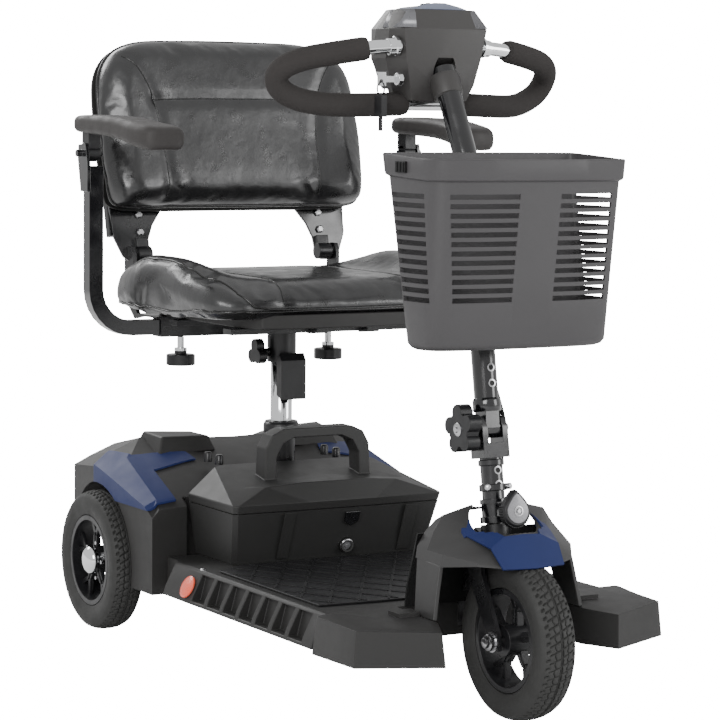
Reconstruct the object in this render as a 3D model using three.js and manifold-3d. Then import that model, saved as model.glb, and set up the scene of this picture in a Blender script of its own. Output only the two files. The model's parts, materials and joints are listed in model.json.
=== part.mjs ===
// A three-wheeled travel mobility scooter: chassis, steering column, lift-off battery box and swivel seat.
// Millimetres, +Z up. The front of the scooter looks along -Y and the rider's left is +X.
// Positions are measured from the ground point under the front axle; the last lines centre the whole.
import * as THREE from "three";
import { mergeVertices } from "three/addons/utils/BufferGeometryUtils.js";
import Module from "manifold-3d";

const wasm = await Module();
wasm.setup();

// ---------- driving dimensions ----------
const WHEELBASE = 775;
const MID_LENGTH = 420.25; // middle of the overall length, behind the front axle
const GAP = 0.4; // air between pieces that touch
const WHEEL = { radius: 101.5, rimRadius: 66, rearWidth: 50, frontWidth: 52, sides: 24 };
const REAR_TRACK = 438;
const DECK = { front: 118, skirtEnd: 545, rear: 588, bottom: 88, top: 132, topHalf: 212, bottomHalf: 231 };
const BUMPER = { inner: 104, rear: 114, bottom: 84, top: 127, peak: 138 };
const COVER = { front: 593, rear: 883, bottom: 78, archRadius: 114, wellWall: 166, skin: 3.5 };
const STEER = { lean: 9.4, axisAtAxle: 32, pivotAt: 262 };
const HEADTUBE = { from: 115, to: 140, outer: 19, bore: 12.5 };
const BASKET = { bottom: 467, top: 708, wall: 3.5, rimHeight: 28, rimProud: 4 };
const BATTERY = {
  front: 481,
  rear: 604,
  bottomHalf: 154,
  topHalf: 166,
  bottom: 132.4,
  seam: 206,
  shoulder: 216,
  forward: 31, // how far the front leans forward from the base to the shoulder
  skin: 3.5,
};
const POST = { y: 632, radius: 15.8, bottom: 150, top: 450, socketTop: 310 };
const SEAT = { front: 404, rear: 768, half: 226, panBottom: 462, panTop: 482 };
const BACK = { hingeY: 783, hingeZ: 545, lean: 14, half: 213, bottom: 604, top: 858 };
const ARMREST = {
  x: 260,
  y: 714,
  tube: 21.5,
  crossZ: 445,
  pivotY: 722,
  pivotZ: 694,
  padRear: 736,
  padFront: 498,
};
const ANTI_TIP = { y: 918, z: 42, radius: 24, x: 48 };

const deg = THREE.MathUtils.degToRad;
const rearAxle = WHEELBASE;
const rearWheelX = REAR_TRACK / 2;

// ---------- materials ----------
const finish = (color, roughness, metalness = 0) =>
  new THREE.MeshStandardMaterial({ color, roughness, metalness });
const MATERIALS = {
  body: finish(0x2e2d2c, 0.55),
  shroud: finish(0x4a4a4b, 0.5),
  mat: finish(0x1c1c1d, 0.85),
  blue: finish(0x1d2a6b, 0.25),
  basket: finish(0x5d5b5d, 0.55),
  tyre: finish(0x1b1b1b, 0.9),
  rim: finish(0x18181a, 0.45),
  frame: finish(0x151516, 0.4, 0.5),
  gloss: finish(0x0e0e0f, 0.2, 0.3),
  chrome: finish(0xc8cacc, 0.15, 1),
  steel: finish(0x9a9c9e, 0.35, 1),
  foam: finish(0x3a3a3a, 0.95),
  vinyl: finish(0x111112, 0.4),
  pad: finish(0x4e4b49, 0.7),
  panel: finish(0xa9b3c4, 0.35),
  reflector: finish(0xfa5f4c, 0.2),
};

// ---------- shape helpers: every one returns a closed BufferGeometry ----------
function positionsOnly(geometry) {
  const flat = geometry.index ? geometry.toNonIndexed() : geometry.clone();
  const bare = new THREE.BufferGeometry();
  bare.setAttribute("position", flat.getAttribute("position"));
  return mergeVertices(bare, 1e-3);
}

function toSolid(geometry) {
  const merged = positionsOnly(geometry);
  const build = (triVerts) =>
    new wasm.Manifold(
      new wasm.Mesh({
        numProp: 3,
        vertProperties: merged.attributes.position.array,
        triVerts,
      }),
    );
  const triangles = new Uint32Array(merged.index.array);
  const solid = build(triangles);
  if (solid.volume() >= 0) return solid;
  return build(triangles.reverse());
}

function toGeometry(solid) {
  const mesh = solid.getMesh();
  const geometry = new THREE.BufferGeometry();
  geometry.setAttribute("position", new THREE.BufferAttribute(mesh.vertProperties, 3));
  geometry.setIndex(new THREE.BufferAttribute(mesh.triVerts, 1));
  return geometry;
}

const join = (first, ...others) =>
  toGeometry(others.reduce((sum, g) => sum.add(toSolid(g)), toSolid(first)));
const cut = (first, ...others) =>
  toGeometry(others.reduce((rest, g) => rest.subtract(toSolid(g)), toSolid(first)));
const common = (a, b) => toGeometry(toSolid(a).intersect(toSolid(b)));

const moved = (geometry, x, y, z) => geometry.clone().translate(x, y, z);
const mirrored = (geometry) => toGeometry(toSolid(geometry.clone().scale(-1, 1, 1)));

function box(x0, x1, y0, y1, z0, z1) {
  return new THREE.BoxGeometry(x1 - x0, y1 - y0, z1 - z0).translate(
    (x0 + x1) / 2,
    (y0 + y1) / 2,
    (z0 + z1) / 2,
  );
}

function rod(from, to, radius, endRadius = radius, sides = 16) {
  const a = new THREE.Vector3(...from);
  const b = new THREE.Vector3(...to);
  const along = b.clone().sub(a);
  const turn = new THREE.Quaternion().setFromUnitVectors(
    new THREE.Vector3(0, 1, 0),
    along.clone().normalize(),
  );
  const middle = a.add(b).multiplyScalar(0.5);
  return new THREE.CylinderGeometry(endRadius, radius, along.length(), sides)
    .applyQuaternion(turn)
    .translate(middle.x, middle.y, middle.z);
}

// A flat outline pushed along one axis: the outline is [y,z] for x, [x,z] for y and [x,y] for z.
const PRISM_BASIS = {
  x: [new THREE.Vector3(0, 1, 0), new THREE.Vector3(0, 0, 1), new THREE.Vector3(1, 0, 0)],
  y: [new THREE.Vector3(1, 0, 0), new THREE.Vector3(0, 0, 1), new THREE.Vector3(0, -1, 0)],
  z: [new THREE.Vector3(1, 0, 0), new THREE.Vector3(0, 1, 0), new THREE.Vector3(0, 0, 1)],
};
function prism(axis, outline, from, to) {
  const shape = new THREE.Shape(outline.map(([u, v]) => new THREE.Vector2(u, v)));
  const geometry = new THREE.ExtrudeGeometry(shape, { depth: to - from, bevelEnabled: false });
  geometry.applyMatrix4(new THREE.Matrix4().makeBasis(...PRISM_BASIS[axis]));
  if (axis === "x") return geometry.translate(from, 0, 0);
  if (axis === "y") return geometry.translate(0, to, 0);
  return geometry.translate(0, 0, from);
}

// A closed [radius, along] profile turned about the X axis.
function turnedAboutX(profile, sides = WHEEL.sides) {
  const points = profile.map(([r, x]) => new THREE.Vector2(r, x));
  return new THREE.LatheGeometry(points, sides).rotateZ(-Math.PI / 2);
}

function sweep(points, radius, sides, steps) {
  const path = new THREE.CatmullRomCurve3(points.map((p) => new THREE.Vector3(...p)));
  const ring = new THREE.Shape();
  ring.absarc(0, 0, radius, 0, 2 * Math.PI);
  return new THREE.ExtrudeGeometry(new THREE.Shape(ring.getPoints(sides / 4)), {
    steps,
    extrudePath: path,
  });
}

// Rings of equally many points joined in order, with a fan over each end. The diagonals of the second
// half of a ring mirror those of the first, so a symmetric ring makes a symmetric solid.
function loft(rings) {
  const count = rings[0].length;
  const vertices = rings.flat(2);
  const triangles = [];
  for (let r = 0; r + 1 < rings.length; r++)
    for (let i = 0; i < count; i++) {
      const [a, b] = [r * count + i, r * count + ((i + 1) % count)];
      if (i < count / 2) triangles.push(a, b, b + count, a, b + count, a + count);
      else triangles.push(a, b, a + count, b, b + count, a + count);
    }
  [rings[0], rings[rings.length - 1]].forEach((ring, end) => {
    const centre = vertices.length / 3;
    for (const axis of [0, 1, 2])
      vertices.push(ring.reduce((sum, p) => sum + p[axis], 0) / count);
    const start = end ? (rings.length - 1) * count : 0;
    for (let i = 0; i < count; i++) {
      const [a, b] = [start + i, start + ((i + 1) % count)];
      triangles.push(...(end ? [centre, a, b] : [centre, b, a]));
    }
  });
  const geometry = new THREE.BufferGeometry();
  geometry.setAttribute("position", new THREE.Float32BufferAttribute(vertices, 3));
  geometry.setIndex(triangles);
  return toGeometry(toSolid(geometry));
}

// A half outline from the outside to the middle plane, completed by its mirror image.
const bothSides = (half) => [...half, ...half.map(([x, ...rest]) => [-x, ...rest]).reverse()];

// ---------- scene graph ----------
const scooter = new THREE.Group();
scooter.position.y = -MID_LENGTH;

function part(name, geometry, material, parent = scooter, x = 0, y = 0, z = 0) {
  const mesh = new THREE.Mesh(toGeometry(toSolid(geometry)), MATERIALS[material]);
  mesh.name = name;
  mesh.position.set(x, y, z);
  parent.add(mesh);
  return mesh;
}

// The rider's right is built as the mirror image of the left.
const sides = [
  ["left", scooter],
  ["right", new THREE.Group()],
];
sides[1][1].scale.x = -1;
scooter.add(sides[1][1]);

// The steering column leans back about X; its own Z runs up the column from axle height.
const column = new THREE.Group();
column.position.set(0, STEER.axisAtAxle, WHEEL.radius);
column.rotation.x = -deg(STEER.lean);
scooter.add(column);
column.updateMatrix();
const onColumn = (geometry) => geometry.clone().applyMatrix4(column.matrix);
const axleOnColumn = [
  -STEER.axisAtAxle * Math.cos(deg(STEER.lean)),
  -STEER.axisAtAxle * Math.sin(deg(STEER.lean)),
];

// ---------- wheels ----------
function tyre(width) {
  const half = [
    [WHEEL.rimRadius + GAP, 0.4],
    [76, 0.5],
    [91, 0.49],
    [99.5, 0.33],
  ].map(([r, share]) => [r, share * width]);
  const profile = [
    ...half,
    [WHEEL.radius, 0],
    ...half.map(([r, x]) => [r, -x]).reverse(),
  ];
  return turnedAboutX([...profile, profile[0]]);
}

// Barrel, dished disc with five windows, and hub; the outer side is +X.
function rim(width, disc, hub, boreRadius) {
  const edge = width * 0.42;
  const barrel = [
    [60, -edge],
    [WHEEL.rimRadius, -edge],
    [WHEEL.rimRadius, edge],
    [60, edge],
    [60, disc[1]],
    [20, disc[1]],
    [16, hub[1]],
    [boreRadius, hub[1]],
    [boreRadius, hub[0]],
    [16, hub[0]],
    [20, disc[0]],
    [60, disc[0]],
    [60, -edge],
  ];
  const window = [
    [-6, 25],
    [6, 25],
    [21, 50],
    [0, 56],
    [-21, 50],
  ];
  const windows = Array.from({ length: 5 }, (_, i) =>
    prism("x", window, disc[0] - 5, disc[1] + 5).rotateX((i * 2 * Math.PI) / 5),
  );
  return cut(turnedAboutX(barrel), ...windows);
}

const AXLE_RADIUS = 7;
const axleBore = AXLE_RADIUS + GAP;
for (const [side, group] of sides) {
  part("rear_tyre_" + side, tyre(WHEEL.rearWidth), "tyre", group, rearWheelX, rearAxle, WHEEL.radius);
  const hubbed = join(
    rim(WHEEL.rearWidth, [4, 12], [-18, 18], axleBore),
    rod([18, 0, 0], [24, 0, 0], 17, 17, 24),
    rod([24, 0, 0], [28, 0, 0], 17, 11, 24),
  );
  part("rear_rim_" + side, hubbed, "rim", group, rearWheelX, rearAxle, WHEEL.radius);
  const caster = turnedAboutX(
    [
      [4.4, -9],
      [ANTI_TIP.radius - 3, -9],
      [ANTI_TIP.radius, -6],
      [ANTI_TIP.radius, 6],
      [ANTI_TIP.radius - 3, 9],
      [4.4, 9],
      [4.4, -9],
    ],
    24,
  );
  part("anti_tip_wheel_" + side, caster, "tyre", group, ANTI_TIP.x, ANTI_TIP.y, ANTI_TIP.z);
}
part("front_tyre", tyre(WHEEL.frontWidth), "tyre", scooter, 0, 0, WHEEL.radius);
part("front_rim", rim(WHEEL.frontWidth, [-5, 5], [-25, 25], axleBore), "rim", scooter, 0, 0, WHEEL.radius);

// ---------- frame ----------
// Two rails step up behind the seat post and carry the drive unit, the rear covers and the anti-tip arms.
function chassisFrame() {
  const rail = prism(
    "x",
    [
      [136, 92],
      [690, 92],
      [716, 132],
      [846, 132],
      [ANTI_TIP.y - 12, ANTI_TIP.z - 8],
      [ANTI_TIP.y + 12, ANTI_TIP.z + 4],
      [866, 154],
      [706, 154],
      [680, 114],
      [136, 114],
    ],
    ANTI_TIP.x + 14,
    ANTI_TIP.x + 30,
  );
  const cross = (y, z, half) => box(-half, half, y - 12, y + 12, z, z + 18);
  const socket = rod([0, POST.y, 92], [0, POST.y, POST.socketTop], POST.radius + 4.5, undefined, 20);
  const collar = rod([0, POST.y, 288], [0, POST.y, POST.socketTop], POST.radius + 8, undefined, 20);
  const socketBore = rod([0, POST.y, 130], [0, POST.y, 330], POST.radius + GAP, undefined, 20);
  const neck = prism(
    "x",
    [
      [136, 92],
      [166, 92],
      [166, 114],
      [146, 122],
      [84, 232],
      [66, 226],
      [128, 114],
    ],
    -13,
    13,
  );
  const tubeAt = (radius, from, to) => onColumn(rod([0, 0, from], [0, 0, to], radius, undefined, 20));
  const antiTipReach = ANTI_TIP.x + 30;
  const antiTipAxle = rod([-antiTipReach, ANTI_TIP.y, ANTI_TIP.z], [antiTipReach, ANTI_TIP.y, ANTI_TIP.z], 4);
  const bearingTop = WHEEL.radius + AXLE_RADIUS + 8;
  const bearingPost = (x) => box(x - 5, x + 5, rearAxle - 12, rearAxle + 12, bearingTop, 140);
  return cut(
    join(
      rail,
      mirrored(rail),
      cross(150, 94, 180),
      cross(POST.y, 94, 90),
      cross(560, 94, 180),
      cross(730, 134, 90),
      cross(820, 134, 150),
      neck,
      socket,
      collar,
      tubeAt(HEADTUBE.outer, HEADTUBE.from, HEADTUBE.to),
      antiTipAxle,
      box(-150, 150, rearAxle - 12, rearAxle + 12, 136, 150),
      bearingPost(140),
      bearingPost(-140),
    ),
    tubeAt(HEADTUBE.bore, HEADTUBE.from - 5, HEADTUBE.to + 5),
    socketBore,
  );
}
part("chassis_frame", chassisFrame(), "frame");

// ---------- drive unit ----------
const axleShaft = rod(
  [-rearWheelX - 16, rearAxle, WHEEL.radius],
  [rearWheelX + 16, rearAxle, WHEEL.radius],
  AXLE_RADIUS,
);
const gearCase = rod([-30, rearAxle, WHEEL.radius], [44, rearAxle, WHEEL.radius], 32, undefined, 20);
const axleSleeve = rod([-150, rearAxle, WHEEL.radius], [150, rearAxle, WHEEL.radius], 14);
part("transaxle", join(axleShaft, gearCase, axleSleeve), "steel");
const MOTOR = { y: 840, z: 95, radius: 30 };
part(
  "drive_motor",
  join(
    rod([-28, MOTOR.y, MOTOR.z], [36, MOTOR.y, MOTOR.z], MOTOR.radius, undefined, 20),
    rod([36, MOTOR.y, MOTOR.z], [44, MOTOR.y, MOTOR.z], 22, undefined, 20),
  ),
  "gloss",
);
const FREEWHEEL = { x: -34, y: MOTOR.y, z: MOTOR.z - 3 };
part(
  "freewheel_lever",
  join(
    rod([-4, 0, 0], [5.6, 0, 0], 9),
    box(-4, 4, 0, 66, -4, 4),
    rod([-12, 66, 0], [6, 66, 0], 7),
  ),
  "reflector",
  scooter,
  FREEWHEEL.x,
  FREEWHEEL.y,
  FREEWHEEL.z,
);

// ---------- deck ----------
const deckOutline = (half, inset, z) =>
  bothSides([
    [half, DECK.front + inset, z],
    [half, DECK.skirtEnd - inset, z],
    [203 - inset, DECK.skirtEnd + 8, z],
    [203 - inset, DECK.rear - inset, z],
  ]);
const REFLECTOR = { x: 223.4, y: 479, z: 108, tilt: -27 };
function deckPan() {
  const shell = loft([
    deckOutline(DECK.bottomHalf, 0, DECK.bottom),
    deckOutline(DECK.bottomHalf - 4, 0, DECK.bottom + 12),
    deckOutline(DECK.topHalf, 0, DECK.top - 3),
    deckOutline(DECK.topHalf - 4, 1, DECK.top),
  ]);
  const hollow = box(-197, 197, DECK.front + 5, DECK.rear - 5, DECK.bottom - 5, DECK.top - 5);
  const neckNotch = box(-14, 14, DECK.front - 5, 152, 100, DECK.top + 5);
  const railNotch = box(-84, 84, DECK.rear - 12, DECK.rear + 5, DECK.bottom - 5, 118);
  const recess = (y) =>
    prism(
      "y",
      [
        [DECK.topHalf - 6, DECK.top - 5],
        [DECK.topHalf + 20, DECK.top - 5],
        [DECK.bottomHalf + 12, DECK.bottom + 5],
        [DECK.bottomHalf - 16, DECK.bottom + 5],
      ],
      y - 18,
      y + 18,
    );
  const recesses = Array.from({ length: 7 }, (_, i) => recess(164 + i * 46));
  return cut(shell, hollow, ...recesses, ...recesses.map(mirrored), neckNotch, railNotch);
}
part("deck_pan", deckPan(), "body");
part(
  "deck_mat",
  prism(
    "z",
    bothSides([
      [110, 154],
      [196, 160],
      [196, 440],
      [150, 468],
    ]),
    DECK.top + 0.3,
    DECK.top + 3,
  ),
  "mat",
);
function reflector() {
  return join(rod([0, 0, 0], [3, 0, 0], 16, 16, 20), rod([3, 0, 0], [5, 0, 0], 16, 11, 20));
}
for (const [side, group] of sides) {
  const { x, y, z, tilt } = REFLECTOR;
  part("reflector_" + side, reflector(), "reflector", group, x, y, z).rotation.y = deg(tilt);
}

// ---------- front bumpers ----------
function bumper() {
  const foot = [
    [BUMPER.inner, BUMPER.rear],
    [BUMPER.inner, 12],
    [128, -38],
    [230, 10],
    [234, 108],
    [231, BUMPER.rear],
  ];
  const ring = (shrink, z, lift) =>
    foot.map(([x, y]) => [
      168 + (x - 168) * (1 - shrink),
      40 + (y - 40) * (1 - shrink),
      z + (lift ? lift * THREE.MathUtils.clamp((y + 38) / 100, 0, 1) : 0),
    ]);
  const wedge = loft([ring(0, BUMPER.bottom, 0), ring(0.07, BUMPER.top, 5), ring(0.28, BUMPER.top + 2, 9)]);
  const hollow = box(120, 200, 14, 102, BUMPER.bottom - 5, BUMPER.top - 7);
  return cut(join(wedge, box(118, 150, 40, 66, BUMPER.top, BUMPER.peak + 2)), hollow);
}
for (const [side, group] of sides) part("bumper_" + side, bumper(), "body", group);

// ---------- front shroud and fender panel ----------
// Half sections of the dome over the wheel: [y, half width, height of the side edge, height of the crown].
const DOME = [
  [-36, 30, 203, 206],
  [-18, 40, 205, 224],
  [0, 47, 209, 235],
  [20, 55, 214, 240],
  [44, 63, 222, 262],
  [80, 67, 232, 259],
];
const domeLoft = (grow, skirt) =>
  loft(
    DOME.map(([y, half, side, crown], i) => {
      const station = i ? y : y - grow;
      return bothSides([
        [half + grow, station, side - skirt],
        [half + grow, station, side],
        [half * 0.94 + grow, station, (side + crown) / 2],
        [half * 0.66 + grow, station, crown - 4 + grow],
        [half * 0.22, station, crown + grow],
      ]);
    }),
  );
const STEM_KNOB = { y: -35, z: 155, face: -21, radius: 19 };
const KNOB_ROOM = 26;
// The shroud's opening: a round hole for the column, and the room its clamp knob sweeps as it steers.
const knobSweep = [-40, -30, -20, -10, 0, 10, 20, 30, 40].map((angle) => {
  const out = [Math.sin(deg(angle)), -Math.cos(deg(angle))];
  const reach = -STEM_KNOB.y - STEM_KNOB.face + 1.5;
  return rod([0, 0, STEM_KNOB.z], [out[0] * reach, out[1] * reach, STEM_KNOB.z], KNOB_ROOM, KNOB_ROOM, 20);
});
const stemHole = onColumn(join(rod([0, 0, 90], [0, 0, 230], 27.5, undefined, 20), ...knobSweep));
function frontShroud() {
  const arm = loft([
    [[112, 20, 141], [112, 68, 141], [106, 68, 141], [106, 20, 141]],
    [[98, 30, 190], [98, 84, 190], [93, 84, 190], [93, 30, 190]],
    [[68, 44, 247], [68, 84, 247], [60, 84, 239], [60, 44, 239]],
    [[40, 46, 264], [40, 84, 262], [36, 84, 254], [36, 46, 254]],
  ]);
  const dome = cut(domeLoft(0, 3), moved(domeLoft(-3.5, 30), 0, 0, -0.5));
  return cut(join(dome, arm, mirrored(arm)), stemHole, domeLoft(-3.5, 60));
}
part("front_shroud", frontShroud(), "shroud");
// The blue panel is a collar over the front of the dome.
const collarRegion = prism("z", bothSides([[70, -60], [70, 22], [58, 40], [30, 40], [22, -4]]), 200, 300);
part("fender_panel", cut(common(cut(domeLoft(3.4, 3), domeLoft(0.5, 30)), collarRegion), stemHole), "blue");

// ---------- rear cover ----------
// Half sections of the cover, from the outer bottom edge to the middle, at five stations along Y.
const COVER_SECTIONS = [
  [COVER.front, [224, 78], [224, 186], [214, 197], [166, 201], [100, 204], [80, 204], [1, 205]],
  [612, [224, 78], [224, 198], [206, 207], [165, 212], [100, 216], [80, 216], [1, 217]],
  [740, [224, 78], [224, 228], [192, 250], [150, 258], [105, 264], [80, 261], [1, 261]],
  [784, [224, 78], [224, 237], [198, 258], [155, 276], [100, 281], [80, 272], [1, 270]],
  [COVER.rear, [215, 112], [215, 228], [190, 240], [150, 256], [100, 262], [80, 256], [1, 255]],
];
function coverLoft(inset, bottomDrop) {
  return loft(
    COVER_SECTIONS.map(([y, ...half], station) => {
      const last = COVER_SECTIONS.length - 1;
      const shift = station === 0 ? inset : station === last ? -inset : 0;
      return bothSides(
        half.map(([x, z], i) => [
          i < half.length - 1 ? x - Math.min(inset, x) * (x > 2 ? 1 : 0) : x,
          y + shift,
          i === 0 ? z - bottomDrop : z - inset,
        ]),
      );
    }),
  );
}
const wheelWell = (radius, from, to) =>
  rod([from, rearAxle, WHEEL.radius], [to, rearAxle, WHEEL.radius], radius, radius, 36);
function rearCover() {
  const skin = COVER.skin;
  const batteryBay = (margin) =>
    box(-170 - margin, 170 + margin, 500, BATTERY.rear + 6 + margin, 0, 400);
  const outside = cut(coverLoft(0, 0), batteryBay(0));
  const inside = cut(coverLoft(skin, 20), batteryBay(skin));
  const liner = (side) => {
    const wall = COVER.wellWall;
    const drum = cut(
      common(wheelWell(COVER.archRadius + 3, wall, 223), box(wall, 223, 600, 882, 90, 300)),
      wheelWell(COVER.archRadius, wall + 3, 240),
    );
    return side > 0 ? common(drum, outside) : common(mirrored(drum), outside);
  };
  const shell = cut(outside, inside);
  return cut(
    join(shell, liner(1), liner(-1)),
    wheelWell(COVER.archRadius, COVER.wellWall + 3, 240),
    mirrored(wheelWell(COVER.archRadius, COVER.wellWall + 3, 240)),
    rod([0, POST.y, 90], [0, POST.y, 400], POST.radius + 9, undefined, 20),
    rod([-180, rearAxle, WHEEL.radius], [180, rearAxle, WHEEL.radius], 16),
    box(-84, 84, 600, 626, 60, 160),
    box(-84, 84, 860, 900, 60, 158),
  );
}
part("rear_cover", rearCover(), "body");

// The blue panels lie on the shoulders of the cover.
function rearPanel() {
  const lift = (amount) =>
    loft(
      COVER_SECTIONS.map(([y, ...half]) =>
        bothSides(half.map(([x, z], i) => [i < half.length - 1 ? x + amount : x, y, z + amount])),
      ),
    );
  const region = prism(
    "z",
    [
      [232, 604],
      [232, 786],
      [206, 790],
      [186, 744],
      [110, 722],
      [104, 700],
      [176, 690],
      [182, 604],
    ],
    196,
    300,
  );
  return cut(common(cut(lift(3.2), lift(0.8)), region), wheelWell(COVER.archRadius, 100, 260));
}
for (const [side, group] of sides) part("rear_panel_" + side, rearPanel(), "blue", group);

// ---------- fork, lower column and front axle ----------
function frontFork() {
  const [axleY, axleZ] = axleOnColumn;
  const blade = prism(
    "x",
    [
      [-17, 113],
      [17, 113],
      [14, 80],
      [axleY + 13, axleZ + 8],
      [axleY + 10, axleZ - 12],
      [axleY - 10, axleZ - 12],
      [axleY - 12, axleZ + 8],
      [-17, 80],
    ],
    31,
    37,
  );
  const axle = rod([-48, axleY, axleZ], [48, axleY, axleZ], AXLE_RADIUS);
  const nut = rod([37, axleY, axleZ], [44, axleY, axleZ], 11, 11, 6);
  return join(
    blade,
    mirrored(blade),
    box(-37, 37, -17, 12, 101, 113),
    rod([0, 0, 112], [0, 0, 176], 12, undefined, 20),
    axle,
    nut,
    mirrored(nut),
  );
}
part("front_fork", frontFork(), "frame", column);

const columnHole = (s) => rod([0, -30, s], [0, 30, s], 3.4, undefined, 12);
function lowerTiller() {
  const pivot = STEER.pivotAt;
  const earOutline = [[-15, 224], [15, 224], [16, pivot], [9, pivot + 15], [-9, pivot + 15], [-16, pivot]];
  const ear = prism("x", earOutline, 11, 19);
  return cut(
    join(
      cut(
        join(
          rod([0, 0, 142], [0, 0, 150], 19, undefined, 20),
          rod([0, 0, 150], [0, 0, 166], 16.5, undefined, 20),
          rod([0, 0, 166], [0, 0, 172], 18, undefined, 20),
          rod([0, 0, 172], [0, 0, 232], 14, undefined, 20),
          box(-8, 8, -34, -8, 150, 168),
          box(-19, 19, -16, 16, 224, 243),
        ),
        columnHole(190),
        columnHole(208),
      ),
      ear,
      mirrored(ear),
      rod([-19, 0, pivot], [19, 0, pivot], 5),
    ),
    rod([0, 0, 130], [0, 0, 180], 12.4, undefined, 20),
  );
}
part("lower_tiller", lowerTiller(), "gloss", column);

// A ribbed drop-shaped clamp knob on the front of the column's base.
function stemKnob() {
  const { face, radius } = STEM_KNOB;
  const round = rod([0, -18, 0], [0, -6, 0], radius, radius, 20);
  const tip = prism("y", [[-15, 12], [15, 12], [5, 24], [-5, 24]], -18, -6);
  return join(round, tip, rod([0, face, 0], [0, -18, 0], 12, 14, 20), rod([0, -6, 0], [0, -GAP, 0], 7, 7));
}
part("stem_knob", stemKnob(), "gloss", column, 0, STEM_KNOB.y, STEM_KNOB.z);

function lobedKnob() {
  const lobes = Array.from({ length: 5 }, (_, i) => {
    const a = (i * 2 * Math.PI) / 5 + Math.PI / 2;
    const [y, z] = [21 * Math.cos(a), 21 * Math.sin(a)];
    return rod([-46, y, z], [-28, y, z], 11, 11, 14);
  });
  return join(
    rod([-46, 0, 0], [-28, 0, 0], 22, 22, 20),
    ...lobes,
    rod([-28, 0, 0], [-19.5, 0, 0], 12, 12, 16),
  );
}
part("tiller_hinge_knob", lobedKnob(), "gloss", column, 0, 0, STEER.pivotAt);

// ---------- upper tiller ----------
const TILLER_PATH = [
  [0, 0, 283],
  [0, 0, 400],
  [0, 0, 520],
  [0, 1.5, 572],
  [0, 8, 610],
  [0, 20, 648],
  [0, 46, 728],
];
function upperTiller() {
  const pivot = STEER.pivotAt;
  const tongue = join(
    box(-10.6, 10.6, -13, 13, pivot, 296),
    rod([-10.6, 0, pivot], [10.6, 0, pivot], 13, 13, 20),
  );
  const hook = join(box(-34, 34, -20, -16.5, 534, 574), box(-12, 12, -18, 0, 540, 568));
  return cut(
    join(sweep(TILLER_PATH, 15.5, 16, 20), tongue, rod([0, 0, 283], [0, 0, 300], 18, 17, 20), hook),
    rod([-30, 0, pivot], [30, 0, pivot], 5.4, undefined, 20),
    columnHole(318),
    columnHole(338),
  );
}
part("upper_tiller", upperTiller(), "gloss", column);

// ---------- head ----------
// Horizontal sections of the head, front edge first: [z, front y, rear y, half width at front, widest half].
const HEAD_SECTIONS = [
  [772, 204, 262, 40, 51],
  [792, 198, 276, 48, 60],
  [826, 194, 284, 56, 71],
  [864, 190, 276, 62, 68],
  [889, 200, 262, 48, 56],
];
function headLoft(inset) {
  return loft(
    HEAD_SECTIONS.map(([z, front, rear, frontHalf, widest], i) => {
      const lift = i === 0 ? -inset : i === HEAD_SECTIONS.length - 1 ? inset : 0;
      return bothSides([
        [frontHalf * 0.25 - inset * 0.25, front - 4 + inset, z - lift],
        [frontHalf - inset, front + inset, z - lift],
        [widest - inset, front + 28, z - lift],
        [widest - inset, rear - 24, z - lift],
        [frontHalf - inset, rear - inset, z - lift],
      ]);
    }),
  );
}
const HANDLEBAR_HALF = [
  [0, 226, 768],
  [50, 226, 768],
  [92, 230, 766],
  [138, 250, 766],
  [172, 268, 772],
  [195, 274, 784],
  [204, 270, 800],
  [198, 257, 814],
  [178, 240, 824],
  [146, 224, 831],
  [105, 210, 838],
  [60, 206, 842],
];
const HANDLEBAR_RIGHT = HANDLEBAR_HALF.slice(1).reverse().map(([x, y, z]) => [-x, y, z]);
const HANDLEBAR_PATH = [...HANDLEBAR_RIGHT, ...HANDLEBAR_HALF];
const GRIP_PATH = HANDLEBAR_HALF.slice(2, -1);
const handlebarBore = sweep(HANDLEBAR_PATH, 9 + GAP + 0.2, 8, 44);
const headTubeHole = onColumn(rod([0, 20, 648], [0, 49.2, 738], 17, 17, 20));
part(
  "tiller_head",
  cut(headLoft(0), headTubeHole, handlebarBore, box(-100, 100, 240, 300, 760, 787)),
  "body",
);
part("handlebar", sweep(HANDLEBAR_PATH, 9, 8, 44), "steel");
for (const [side, group] of sides) {
  const grip = sweep(GRIP_PATH, 15, 12, 20);
  part("grip_" + side, cut(grip, side === "left" ? handlebarBore : mirrored(handlebarBore)), "foam", group);
}
const HORN = { x: 27, y: 240, z: 892.6, radius: 5 };
const panelPlate = loft([
  bothSides([[20, 204, 889.4], [42, 206, 889.4], [50, 224, 889.4], [48, 240, 889.4], [38, 256, 889.4]]),
  bothSides([[8, 207, 898], [32, 210, 893.5], [42, 226, 892], [40, 240, 891.5], [30, 252, 891.5]]),
]);
const hornHole = rod([HORN.x, HORN.y, 880], [HORN.x, HORN.y, 900], HORN.radius + GAP);
part("control_panel", cut(panelPlate, hornHole), "panel");
const DIAL = { x: 0, y: 240, z: 893.8 };
const dialBody = join(rod([0, 0, 0], [0, 0, 4], 9, 8, 20), box(-1.2, 1.2, -8, 0, 3, 5));
part("speed_dial", dialBody, "gloss", scooter, DIAL.x, DIAL.y, DIAL.z);
const hornCap = rod([0, 0, 0], [0, 0, 4], HORN.radius, HORN.radius - 1);
part("horn_button", hornCap, "reflector", scooter, HORN.x, HORN.y, HORN.z);

// A paddle under the head, pushed or pulled by the rider's thumbs or fingers.
const PADDLE = { y: 258, z: 779 };
part(
  "throttle_paddle",
  join(
    rod([0, 0, -4], [0, 0, 7.5], 9, 9, 16),
    prism("z", bothSides([[8, -7], [60, -4], [98, 2], [105, 9], [98, 14], [58, 9], [8, 7]]), -3, 1),
  ),
  "steel",
  scooter,
  0,
  PADDLE.y,
  PADDLE.z,
);

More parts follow.
